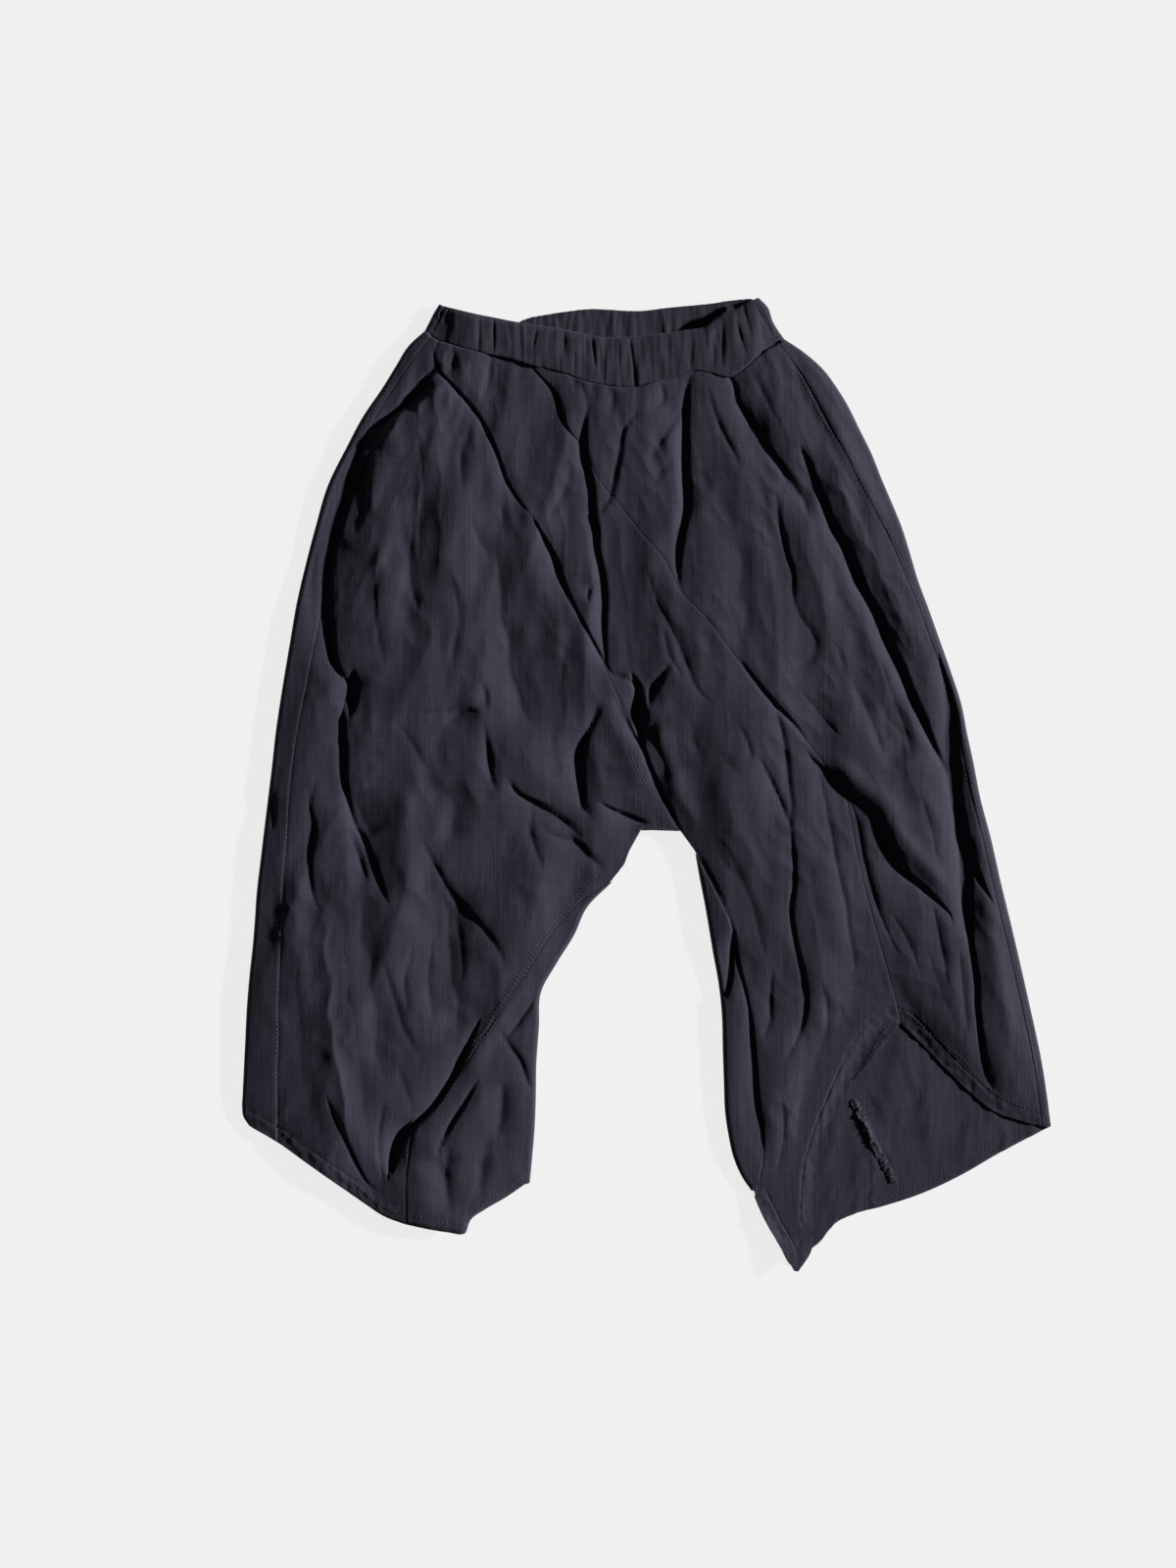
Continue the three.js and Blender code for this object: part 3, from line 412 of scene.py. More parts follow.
# Folds down the left leg and on its inner side.
LEFT_LEG_FOLDS = [
    fold(3.2, 7, 9, (-263, -38), (-255, -60), (-248, -80), (-240, -100), (-234, -112)),
    fold(2.6, 7, 9, (-271, -43), (-262, -70), (-254, -92)),
    fold(3.2, 6, 9, (-303, 4), (-308, -20), (-305, -40), (-308, -60), (-308, -85), (-304, -105),
         (-299, -118)),
    fold(2.2, 10, 13, (-241, -162), (-230, -200), (-222, -225), (-209, -247)),
    fold(2.9, 7, 10, (-206, -50), (-190, -80), (-180, -98), (-166, -116), (-150, -132), (-136, -150),
         (-128, -172)),
    fold(1.8, 10, 14, (-176, -118), (-170, -145), (-169, -182)),
    fold(2.8, 5, 7, (-294, -282), (-286, -302), (-280, -315), (-272, -335), (-265, -350), (-254, -367),
         (-240, -376)),
    fold(1.2, 6, 8, (-228, -256), (-222, -275), (-216, -292), (-211, -307)),
    fold(2.4, 7, 9, (-345, 2), (-343, -20), (-342, -42)),
    fold(4.4, 6, 9, (-154, -270), (-165, -290), (-178, -310), (-188, -330), (-193, -342)),
    fold(2.6, 6, 9, (-136, -223), (-125, -240), (-115, -255), (-108, -275), (-100, -287)),
    fold(2.6, 6, 8, (-96, -186), (-108, -205), (-120, -222), (-129, -233)),
    fold(1.2, 8, 11, (-131, -273), (-133, -300), (-136, -322)),
    fold(1.4, 9, 12, (-144, -318), (-150, -350), (-161, -387)),
    fold(8.4, 7, 13, (-152, -214), (-165, -243), (-180, -272), (-197, -297), (-214, -313), (-227, -328),
         (-234, -345), (-237, -364)),
    fold(7.5, 6, 18, (-214, -306), (-226, -320), (-231, -338), (-234, -358)),
    fold(1.0, 9, 12, (-318, -140), (-320, -190), (-314, -240)),
    fold(1.8, 8, 11, (-240, -290), (-246, -330), (-240, -368)),
    fold(1.8, 9, 12, (-196, -140), (-200, -180), (-194, -220)),
    fold(2.0, 9, 12, (-214, -150), (-222, -180), (-218, -206)),
    fold(1.6, 8, 10, (-180, -330), (-184, -362), (-178, -392)),
]

def facet(height, left, right, *line):
    """A facet that slopes up to its line, or down if its height is negative, and its reach on each side."""
    return {"height": height, "left": left, "right": right, "line": line}


# Facets of the front.
FACETS = [
    facet(3.4, 9, 26, (-178, 372), (-196, 358), (-212, 341), (-230, 325), (-250, 306)),
    facet(-2.2, 26, 24, (-262, -96), (-260, -130), (-256, -165), (-250, -205), (-245, -250), (-240, -285)),
    facet(-6.5, 40, 44, (-188, -84), (-184, -120), (-180, -160), (-175, -205), (-168, -245)),
    facet(4.8, 34, 18, (-303, -100), (-294, -145), (-289, -190), (-286, -230), (-280, -265), (-275, -305),
          (-268, -345)),
    facet(2.4, 26, 40, (-196, 340), (-190, 300), (-187, 250), (-190, 205), (-196, 175)),
    facet(3.6, 32, 26, (-250, 240), (-247, 200), (-246, 160), (-252, 122)),
    facet(-6.0, 40, 50, (-142, 232), (-136, 190), (-131, 145), (-124, 100), (-108, 62), (-94, 34)),
    facet(-4.5, 24, 24, (84, 356), (100, 325), (120, 292), (140, 262), (150, 232)),
    facet(3.6, 16, 44, (158, 330), (180, 268), (206, 208), (234, 146), (256, 94)),
    facet(-4.0, 20, 28, (2, 66), (10, 30), (22, 0)),
    facet(-1.4, 24, 24, (84, 232), (86, 190), (88, 150), (86, 120)),
    facet(-3.4, 22, 24, (-270, -2), (-262, -30), (-250, -52)),
    facet(-3.0, 20, 22, (-186, 6), (-178, -24), (-174, -56)),
    facet(-3.4, 20, 24, (-192, -336), (-186, -362), (-176, -392)),
    facet(-2.0, 18, 18, (-158, -340), (-152, -362), (-146, -384)),
    facet(-1.8, 16, 18, (-136, -268), (-134, -300), (-136, -330)),
    facet(3.6, 30, 12, (150, 398), (178, 352), (196, 318)),
    facet(-3.4, 22, 24, (214, 78), (226, 48), (238, 18)),
    facet(-3.0, 20, 24, (152, -215), (156, -250), (150, -290)),
    facet(-3.0, 14, 20, (110, -370), (122, -395), (134, -420)),
]

# Ridges that stand above the cloth round them. Their depth is a height.
RIDGES = [
    fold(3.0, 16, 14, (-232, 270), (-236, 215), (-232, 165)),
    fold(2.0, 20, 18, (-172, 280), (-172, 220), (-176, 160), (-168, 110)),
    fold(3.6, 10, 10, (160, 34), (186, 8), (214, -16), (236, -54), (262, -82), (284, -104)),
    fold(1.6, 11, 12, (160, 240), (186, 178), (212, 120), (238, 60)),
    fold(2.6, 9, 9, (24, 345), (22, 300), (22, 250), (18, 215)),
    fold(2.6, 13, 13, (-280, -60), (-276, -130), (-268, -200), (-258, -280)),
    fold(2.2, 9, 10, (-105, -172), (-140, -224), (-172, -272)),
    fold(2.6, 8, 10, (-24, 112), (6, 60), (30, -4), (50, -50)),
    fold(2.4, 14, 14, (160, -60), (170, -110), (180, -160)),
    fold(1.1, 12, 12, (60, 20), (84, -40), (108, -90)),
    fold(2.0, 12, 12, (-220, 0), (-222, -60), (-210, -110)),
    fold(2.2, 12, 12, (-316, -60), (-322, -140), (-318, -220)),
    fold(2.0, 9, 8, (262, 152), (284, 96), (294, 40), (300, -6), (306, -60), (316, -130), (328, -200),
         (338, -260)),
    fold(1.6, 7, 7, (132, 396), (160, 348), (196, 282), (230, 216)),
]

# Puckers that the elastic draws across the waistband.
GATHERS = [
    fold(2.2, 3, 4, (-181, 437), (-184, 420)),
    fold(1.5, 3, 4, (-176, 435), (-185, 400)),
    fold(1.3, 3, 4, (-166, 432), (-168, 400)),
    fold(1.3, 3, 4, (-152, 430), (-154, 395)),
    fold(3, 4, 6.0, (-140, 428), (-140, 391)),
    fold(1.2, 3, 4, (-127, 424), (-125, 404)),
    fold(1, 3, 4.0, (-116, 422), (-114, 388)),
    fold(2.5, 3.5, 5.0, (-100, 420), (-104, 398)),
    fold(1.1, 3, 4, (-89, 418), (-92, 384)),
    fold(1.9, 3.0, 4.5, (-75, 416), (-76, 393)),
    fold(1.7, 3.0, 4.5, (-66, 397), (-66, 374)),
    fold(1.6, 3.0, 4.5, (-56, 411), (-55, 390)),
    fold(2.8, 3.5, 5.5, (-50, 411), (-46, 376)),
    fold(1.4, 3, 4, (-43, 404), (-42, 374)),
    fold(1.6, 3, 4, (-38, 405), (-39, 366)),
    fold(1.5, 3, 4, (-26, 409), (-25, 378)),
    fold(3.0, 3.5, 5.5, (-15, 409), (-10, 362)),
    fold(0.9, 3, 4, (4, 409), (3, 380)),
    fold(0.8, 3, 4, (20, 411), (21, 384)),
    fold(1.6, 3.0, 4.5, (38, 414), (36, 386)),
    fold(2.3, 3, 5, (43, 413), (40, 378)),
    fold(1.7, 3.0, 4.5, (54, 417), (54, 396)),
    fold(1.9, 3.0, 4.5, (61, 407), (61, 382)),
    fold(2, 3, 4.5, (64, 420), (65, 398)),
    fold(3.0, 3.5, 6.0, (70, 426), (69, 380)),
    fold(2.8, 3.5, 6.0, (82, 424), (91, 392)),
    fold(2.2, 3, 5, (88, 440), (96, 408)),
    fold(1.4, 3, 4, (104, 428), (108, 400)),
]

# The same on the back's part of the waistband.
BACK_GATHERS = [
    fold(1, 3, 4.0, (-104, 428), (-103, 400)),
    fold(1.2, 3, 4, (-84, 432), (-82, 400)),
    fold(0.9, 3, 4, (-62, 435), (-62, 400)),
    fold(1.4, 2, 3, (-30, 437), (-30, 396)),
    fold(1.1, 3, 4, (-12, 435), (-11, 398)),
    fold(1.2, 3, 4, (15, 437), (20, 400)),
    fold(1, 3, 4.0, (27, 438), (27, 400)),
    fold(1.3, 3, 4, (52, 440), (50, 400)),
    fold(1.2, 3, 4, (72, 443), (74, 404)),
]

# Low facets of the inside of the back, which shows below the notch.
BACK_LEG_FACETS = [
    facet(1.5, 10, 34, (234, -224), (230, -250), (224, -280), (212, -308)),
    facet(1.3, 10, 30, (262, -258), (260, -290), (255, -334)),
    facet(1.0, 9, 26, (302, -296), (296, -322), (286, -350)),
    facet(0.9, 8, 24, (190, -322), (196, -350), (192, -376)),
]

def stitching(*line, pitch=4.0):
    """A row of stitches: its line, and how far apart the stitches start."""
    return {"pitch": pitch, "line": line}


# Topstitching on the front, and along the hem of the back where it shows.
STITCHING = [
    stitching((-45, -85), (-60, -103), (-75, -122), (-90, -138), (-105, -163), (-118, -185), (-133, -207),
              (-145, -228), (-155, -238), (-163, -252), (-175, -272), (-190, -295), (-212, -315)),
    stitching((-48, -82), (-63, -100), (-78, -119), (-93, -135), (-108, -160), (-121, -182), (-136, -204),
              (-148, -225), (-158, -235), (-166, -249), (-178, -269), (-193, -292), (-213, -310)),
    stitching((-338, -313), (-320, -325), (-300, -340), (-280, -355), (-262, -370), (-245, -385),
              (-225, -392), (-200, -398), (-165, -403)),
    stitching((236, -205), (260, -228), (290, -252), (310, -275), (335, -292), (350, -298), (368, -302)),
    stitching((-163, -402), (-157, -391), (-143, -380), (-124, -369), (-110, -358)),
    stitching((-297, 165), (-304, 130), (-312, 88), (-320, 48), (-325, 12), (-328, -20), (-331, -70),
              (-333, -95), (-335, -147), (-337, -205), (-338, -265), (-338, -320)),
    stitching((-219, -330), (-220, -365), (-221, -403)),
    stitching((228, -215), (215, -230), (205, -250), (195, -265), (185, -275)),
    stitching((-235, 365), (-250, 340), (-262, 300), (-275, 260), (-279, 247)),
    stitching((-12, 30), (-5, 12), (5, -5), (12, -20), (15, -40)),
    stitching((-15, 30), (-8, 12), (2, -5), (9, -20), (12, -40)),
    stitching((120, 404), (130, 392), (140, 375), (148, 360), (155, 345), (165, 328), (178, 308),
              (195, 278), (205, 258), (215, 240), (228, 222), (238, 200), (250, 170), (262, 145),
              (270, 118), (280, 88), (288, 48), (294, 16), (301, -16), (311, -54), (320, -94), (330, -135),
              (345, -200), (358, -266), pitch=4.4),
]
BACK_STITCHING = [
    stitching((196, -384), (215, -383), (230, -374), (250, -366), (270, -356), (300, -339), (330, -322),
              (345, -315)),
]

# The raw edge inside the back of the right leg: its line, half its width and how high it lies on the cloth.
ALLOWANCE_LINE = [(190, -290), (198, -306), (205, -322), (214, -340), (222, -354), (228, -366)]
ALLOWANCE_HALF = 3.8
ALLOWANCE_BASE = 1.6

# The rows of the back's right half that bend: their place on the side's rows, and their inner points.
BACK_RIGHT_LEG = table(
    ("at", "bend"),
    (21, [(220, -215)]),
    (21.5, [(230, -245)]),
    (22, [(290, -260), (200, -305)]),
    (23, [(300, -290), (216, -328), (150, -345)]),
    (23.4, [(300, -315), (216, -350), (150, -370)]),
    (23.7, [(300, -335), (216, -368), (150, -400), (125, -400)]),
)

# A stitch from end to end: how far along, half its width, its height, and how much higher its middle is.
STITCH_SHAPE = table(
    ("along", "wide", "lift"),
    (0.12, 0.12, -0.1),
    (0.3, 0.3, 0.28),
    (0.6, 0.3, 0.28),
    (0.78, 0.12, -0.1),
)
STITCH_CROWN = 0.18

# Colours, and the spacing of the weave's threads in metres.
DARK_CLOTH = (0.0155, 0.0155, 0.0268, 1)
LIGHT_CLOTH = (0.0352, 0.0342, 0.0560, 1)
DARK_BAND = (0.015, 0.015, 0.025, 1)
LIGHT_BAND = (0.032, 0.032, 0.050, 1)
DARK_THREAD = (0.016, 0.016, 0.028, 1)
LIGHT_THREAD = (0.045, 0.045, 0.068, 1)
THREAD_PITCH = 0.0009

# The floor glows almost white, so that shadows on it stay faint. It lies just below the garment. In metres.
FLOOR_REACH = 6.0
FLOOR_DROP = 0.0005
FLOOR_COLOUR = (0.08, 0.08, 0.08, 1)
FLOOR_GLOW = 0.815

# The sun stands low on the right and a little towards the waist, in degrees. The sky fills the shadows.
SUN_STRENGTH = 7.0
SUN_WIDTH = 3
SUN_TILT = 72
SUN_TURN = 11
SKY_COLOUR = (0.9, 0.93, 1.0, 1)
SKY_STRENGTH = 0.03

# The camera looks straight down, in metres. SENSOR is in millimetres.
CAMERA_HEIGHT = 3.2
PHOTO_CENTRE_X = -0.0536
PHOTO_TALL = 1.44
SENSOR = 36.0


def flat_curve(points, at, corners=()):
    """Points of a smooth curve at fractional places of its rows. It keeps a corner at each row in corners."""
    rows = np.asarray(points, float)
    at = np.asarray(at, float)
    made = np.zeros((len(at), rows.shape[1]))
    cuts = [0, *corners, len(rows) - 1]
    for first, last in zip(cuts, cuts[1:]):
        if last == first:
            continue
        part = rows[first:last + 1]
        lengths = np.linalg.norm(np.diff(part, axis=0), axis=1)
        reach = np.concatenate([[0], np.cumsum(np.maximum(lengths, 1e-6))])
        slope = np.gradient(part, reach, axis=0)
        mine = (at >= first) & (at <= last)
        i = np.clip(np.floor(at[mine]).astype(int) - first, 0, len(part) - 2)
        t = (at[mine] - first - i)[:, None]
        gap = lengths[i][:, None]
        a, b, u, v = part[i], part[i + 1], slope[i] * gap, slope[i + 1] * gap
        made[mine] = (a * (1 + 2 * t) + u * t) * (1 - t) ** 2 + (b * (3 - 2 * t) - v * (1 - t)) * t ** 2
    return made


def places_between(rows, step):
    """Fractional places of table rows, close enough together for the longest of the lines through them."""
    lines = [np.asarray(row, float) for row in rows]
    at = [np.array([0.0])]
    for i in range(len(lines[0]) - 1):
        longest = max(np.linalg.norm(line[i + 1] - line[i]) for line in lines)
        parts = max(1, int(math.ceil(longest / step)))
        at.append(i + np.arange(1, parts + 1) / parts)
    return np.concatenate(at)


def spline(points, step=4.0):
    """The smooth line through a list of points, as points a few millimetres apart."""
    rows = np.asarray(points, float)
    if len(rows) < 3:
        return rows
    at = [np.array([0.0])]
    for i, long in enumerate(np.linalg.norm(np.diff(rows, axis=0), axis=1)):
        parts = max(1, int(round(long / step)))
        at.append(i + np.arange(1, parts + 1) / parts)
    return flat_curve(rows, np.concatenate(at))


def reach_along(line):
    return np.concatenate([[0], np.cumsum(np.linalg.norm(np.diff(line, axis=0), axis=1))])


def points_along(line, share):
    """Points at the given shares of a line's length."""
    line = np.asarray(line, float)
    reach = reach_along(line)
    places = np.asarray(share) * reach[-1]
    return np.stack([np.interp(places, reach, line[:, k]) for k in range(line.shape[1])], axis=1)


def resample(line, count):
    """Points spread evenly along a line."""
    return points_along(line, np.linspace(0, 1, count + 1))


def shares(widths, columns):
    """Places across rows of the given widths, even but for one more near each end, beside the seam."""
    made = np.tile(np.linspace(0, 1, columns + 1), (len(widths), 1))
    lip = np.minimum(LIP / np.maximum(widths, 1e-6), 0.4 / columns)
    made[:, 1] = lip
    made[:, -2] = 1 - lip
    return made


def rungs(left, right, bends, columns, at, places):
    """Rows of plan points between two edges. bends has the inner points of the rows that aren't straight."""
    share = shares(np.linalg.norm(right - left, axis=1), columns)[..., None]
    straight = left[:, None] * (1 - share) + right[:, None] * share
    count = int(round(at[-1])) + 1
    off = np.zeros((count, columns + 1, 2))
    for i, inner in bends.items():
        start, end = places(i)
        line = spline([start, *inner, end])
        row = shares(np.array([reach_along(line)[-1]]), columns)[0]
        off[i] = points_along(line, row) - np.outer(1 - row, start) - np.outer(row, end)
    low = np.clip(np.floor(at).astype(int), 0, count - 2)
    t = (at - low)[:, None, None]
    return straight + off[low] * (1 - t) + off[low + 1] * t


def smooth(t):
    c = np.clip(t, 0, 1)
    return c * c * (3 - 2 * c)


def nearest(line, x, y):
    """How far points lie to the right of a line drawn downwards, how far along it, and its length."""
    best = np.full(x.shape, 1e9)
    side = np.ones(x.shape)
    reach = np.zeros(x.shape)
    before = 0.0
    for (ax, ay), (bx, by) in zip(line[:-1], line[1:]):
        dx, dy = bx - ax, by - ay
        long = math.hypot(dx, dy)
        if long < 1e-6:
            continue
        t = np.clip(((x - ax) * dx + (y - ay) * dy) / (long * long), 0, 1)
        away = np.hypot(x - ax - dx * t, y - ay - dy * t)
        closer = away < best
        best[closer] = away[closer]
        cross = dx * (y - ay) - dy * (x - ax)
        side[closer] = np.where(cross[closer] < 0, -1, 1)
        reach[closer] = before + long * t[closer]
        before += long
    return best * side, reach, before


def distance(line, x, y):
    return np.abs(nearest(line, x, y)[0])


def within(line, room, x, y):
    """Which points lie in the box round a line."""
    (x0, y0), (x1, y1) = line.min(0) - room, line.max(0) + room
    return (x > x0) & (x < x1) & (y > y0) & (y < y1)


def waves(x, y, size, seed, count=26):
    """An irregular field: waves of about one size that run in all directions, with mean 0 and spread 1."""
    chance = np.random.default_rng(seed)
    total = np.zeros(x.shape)
    for _ in range(count):
        turn = chance.uniform(0, math.pi)
        pace = 2 * math.pi / (size * chance.uniform(0.7, 1.6))
        start = chance.uniform(0, 2 * math.pi)
        total += np.sin((x * math.cos(turn) + y * math.sin(turn)) * pace + start)
    return total * math.sqrt(2 / count)


def wall(away, reach, power=2):
    """How much of a wall is left at a distance from its foot."""
    return np.clip(1 - away / reach, 0, 1) ** power


def crease(row, x, y):
    """The change of height that one fold makes."""
    line = spline(row["line"], 5.0)
    near = within(line, max(row["left"] * SLOPE_REACH, row["right"] * SHOULDER_REACH) + 2, x, y)
    change = np.zeros(x.shape)
    if not near.any():
        return change
    away, reach, total = nearest(line, x[near], y[near])
    to_end = np.minimum(reach, total - reach) / min(LONGEST_TAPER, total / 2)
    ends = np.sin(math.pi / 2 * np.clip(to_end, 0, 1)) ** TAPER_POWER
    spread = LEAST_SPREAD + (1 - LEAST_SPREAD) * ends
    soft = 1 + SHALLOW_SOFTNESS * max(0.0, CRISP_DEPTH - row["depth"])
    lip = wall(-away, row["left"] * spread)
    slope = wall(-away, row["left"] * SLOPE_REACH * spread)
    foot = wall(away, row["right"] * STEEP_REACH * soft * spread, STEEP_POWER)
    shoulder = wall(away, row["right"] * SHOULDER_REACH * spread)
    left = LIP_SHARE * lip + (1 - LIP_SHARE) * slope
    right = STEEP_SHARE * foot + (1 - STEEP_SHARE) * shoulder
    change[near] = -row["depth"] * ends * np.where(away < 0, left, right)
    return change


def faded(reach, total, share):
    """1 along a line, falling to 0 over a share of it at each end."""
    return smooth(reach / total / share) * smooth((1 - reach / total) / share)


def facet_height(row, x, y):
    line = spline(row["line"], 8.0)
    near = within(line, max(row["left"], row["right"]), x, y)
    change = np.zeros(x.shape)
    if not near.any():
        return change
    away, reach, total = nearest(line, x[near], y[near])
    away = away + FACET_WANDER * waves(x[near], y[near], size=34, seed=18)
    wide = np.where(away < 0, row["left"], row["right"])
    change[near] = row["height"] * faded(reach, total, FACET_ENDS) * wall(np.abs(away), wide, FACET_POWER)
    return change


def ridge(row, x, y):
    away, reach, total = nearest(spline(row["line"], 8.0), x, y)
    spread = np.where(away < 0, row["left"], row["right"])
    return row["depth"] * faded(reach, total, RIDGE_ENDS) * np.exp(-(away / spread) ** 2)


# Streaks that fan out from the waist. Those with a crest are sharp along their top.
STREAKS = table(
    ("height", "size", "squeeze", "seed", "crest"),
    (1.4, 130, 0.35, 19, False),
    (0.66, 52, 0.3, 11, False),
    (0.16, 19, 0.3, 12, False),
    (-1.1, 86, 0.25, 14, True),
    (-0.34, 34, 0.35, 15, True),
)


def streak(row, across, y):
    wave = waves(across, y * row["squeeze"], row["size"], row["seed"])
    return row["height"] * (np.abs(wave) if row["crest"] else wave)


def rumple(x, y):
    """The soft, washed unevenness of the cloth: streaks, slanting crumples in patches and a fine ripple."""
    across = x * FAN_REACH / (FAN_TOP - y)
    streaks = sum(streak(row, across, y) for row in STREAKS)
    patches = smooth(waves(x, y, size=110, seed=20) + 0.7)
    crumples = -0.3 * np.abs(waves(across + 0.35 * y, y * 0.55, size=24, seed=23)) * patches
    ripple = 0.045 * waves(across, y * 0.5, size=8, seed=13) * smooth(waves(x, y, size=90, seed=16) + 0.6)
    return streaks + crumples + ripple


ALL_FOLDS = UPPER_FOLDS + LEFT_FOLDS + CROTCH_FOLDS + RIGHT_FOLDS + RIGHT_LEG_FOLDS + LEFT_LEG_FOLDS

# The outline from the left hem over the waist to the right hem, and the outline of the gap between the legs.
OUTLINE = [
    *column(LEFT_SIDE, "edge")[::-1], *column(BACK_BAND, "from")[::-1], *BACK_RIM, *column(BACK_BAND, "to"),
    *column(RIGHT_SIDE, "edge"),
]
GAP_BETWEEN_LEGS = [
    *column(LEFT_INNER, "edge")[::-1], (-15, -60), (-5, -42), (14, -39), (31, -43),
    *column(RIGHT_INNER, "edge"),
]

# The front sinks towards its hems. The last row is the notch.
HEMS = table(
    ("drop", "reach", "line"),
    (4.5, 26, [(-365, -313), (-338, -328), *LEFT_HEM, (-221, -403), *INNER_HEM, (-107, -366)]),
    (4.5, 26, [(99, -379), (119, -418), (137, -444), (151, -428)]),
    (18, 36, [(153, -398), (155, -360), (171, -306), (233, -219), *RIGHT_HEM, (363, -315)]),
)
SEAMS = [
    LEFT_DIAGONAL, LEFT_INSEAM[3:], RIGHT_DIAGONAL, RIGHT_INSEAM[:13], column(LEFT_SIDE, "seam"),
    column(RIGHT_SIDE, "seam"),
]


def folds_of_front(x, y, inside):
    """The change of height of all the streaks, folds, ridges and facets of the front."""
    change = rumple(x, y) * (STREAK_SHARE + (1 - STREAK_SHARE) * smooth(inside / STREAK_FADE))
    for rows, shape in ((ALL_FOLDS, crease), (RIDGES, ridge), (FACETS, facet_height)):
        for row in rows:
            change = change + shape(row, x, y)
    return change * (EDGE_SHARE + (1 - EDGE_SHARE) * smooth(inside / EDGE_FADE))


def kept_above(height, to_notch):
    """The height, rounded off where the front would sink into the back."""
    lowest = LOWEST_AT_NOTCH + (LOWEST_FRONT - LOWEST_AT_NOTCH) * smooth(to_notch / NOTCH_REACH)
    over = height - lowest
    return lowest + (over + np.hypot(over, LOWEST_SOFTNESS)) / 2


def sewing(x, y, to_hem):
    """The grooves that stitches pull in, the hem's thickness and its puckers."""
    change = HEM_PUCKER * waves(x, y, size=9, seed=17) * smooth((HEM_DEPTH + 4 - to_hem) / 6)
    change = change + HEM_RAISE * smooth((HEM_DEPTH - to_hem) / 2)
    change = change - SEAM_GROOVE * np.exp(-((to_hem - HEM_DEPTH) / HEM_GROOVE_WIDTH) ** 2)
    for seam in SEAMS:
        change = change - SEAM_GROOVE * np.exp(-(distance(spline(seam, 6.0), x, y) / SEAM_GROOVE_WIDTH) ** 2)
    return change


def front_height(x, y):
    """Height of the front's outer face above the floor."""
    x, y = np.asarray(x, float), np.asarray(y, float)
    inside = np.minimum(distance(OUTLINE, x, y), distance(GAP_BETWEEN_LEGS, x, y))
    to_hems = [distance(spline(hem["line"], 6.0), x, y) for hem in HEMS]
    drop = np.max([hem["drop"] * np.exp(-away / hem["reach"]) for hem, away in zip(HEMS, to_hems)], axis=0)
    height = EDGE_HEIGHT + PUFF_HEIGHT * (1 - np.exp(-inside / PUFF_REACH))
    height = height + folds_of_front(x, y, inside) - drop
    return kept_above(height, to_hems[-1]) + sewing(x, y, np.min(to_hems, axis=0))


def band_height(x, y, share):
    """Height of the front's waistband, whose rim and lower edge are rounded. share runs from the rim down."""
    ends = np.minimum(smooth((x - BAND_LEFT) / 30), smooth((BAND_RIGHT - x) / 24))
    height = EDGE_HEIGHT + BAND_SWELL * ends
    for row in GATHERS:
        height = height + GATHER_SHARE * crease(row, x, y)
    uneven = waves(x, y * 0.12, size=7, seed=21) * 0.12 + waves(x, y * 0.4, size=15, seed=22) * 0.2
    rounded = 1.6 * (1 - smooth(share / 0.14)) + 0.1 * (1 - smooth((1 - share) / 0.08))
    return height + uneven * ends - rounded


def under_relief(x, y):
    """How far the underside lifts off the floor in its creases."""
    lines = np.exp(-(waves(x * 1.6, y * 0.7, size=60, seed=31) / 0.2) ** 2)
    patches = smooth(waves(x, y, size=110, seed=32) + 0.4)
    facets = sum(facet_height(row, x, y) for row in BACK_LEG_FACETS)
    return 1.3 * lines * patches + 0.25 * smooth(waves(x, y, size=30, seed=33)) + facets


def back_inside(x, y):
    return under_relief(x, y) + CLOTH


def make_object(name, points, faces, materials, smooth_faces=True):
    mesh = bpy.data.meshes.new(name)
    mesh.from_pydata((np.asarray(points) * MILLIMETRE).tolist(), [], faces)
    mesh.update()
    if smooth_faces:
        mesh.polygons.foreach_set("use_smooth", np.ones(len(mesh.polygons), bool))
    piece = bpy.data.objects.new(name, mesh)
    bpy.context.scene.collection.objects.link(piece)
    for material in materials:
        mesh.materials.append(material)
    return piece


def grid_normals(grid):
    down = np.gradient(grid, axis=0)
    across = np.gradient(grid, axis=1)
    normal = np.cross(down, across)
    return normal / np.maximum(np.linalg.norm(normal, axis=2, keepdims=True), 1e-9)


def grid_faces(rows, columns, start, turned_over):
    i, j = np.meshgrid(np.arange(rows - 1), np.arange(columns - 1), indexing="ij")
    a = start + i * columns + j
    corners = [a, a + columns, a + columns + 1, a + 1]
    if turned_over:
        corners = corners[::-1]
    return np.stack([c.ravel() for c in corners], axis=1)


def rim_faces(rows, columns):
    """Faces that join the rims of two grids, one after the other in the list of points."""
    ring = [(i, 0) for i in range(rows)] + [(rows - 1, j) for j in range(1, columns)]
    ring += [(i, columns - 1) for i in range(rows - 2, -1, -1)] + [(0, j) for j in range(columns - 2, 0, -1)]
    loop = np.array([i * columns + j for i, j in ring])
    after = np.roll(loop, -1)
    size = rows * columns
    return np.stack([loop, loop + size, after + size, after], axis=1)


def facing_out(points, faces):
    p = points[faces]
    volume = np.einsum("ij,ij->i", p[:, 0], np.cross(p[:, 1], p[:, 2]) + np.cross(p[:, 2], p[:, 3])).sum()
    return faces[:, ::-1] if volume < 0 else faces


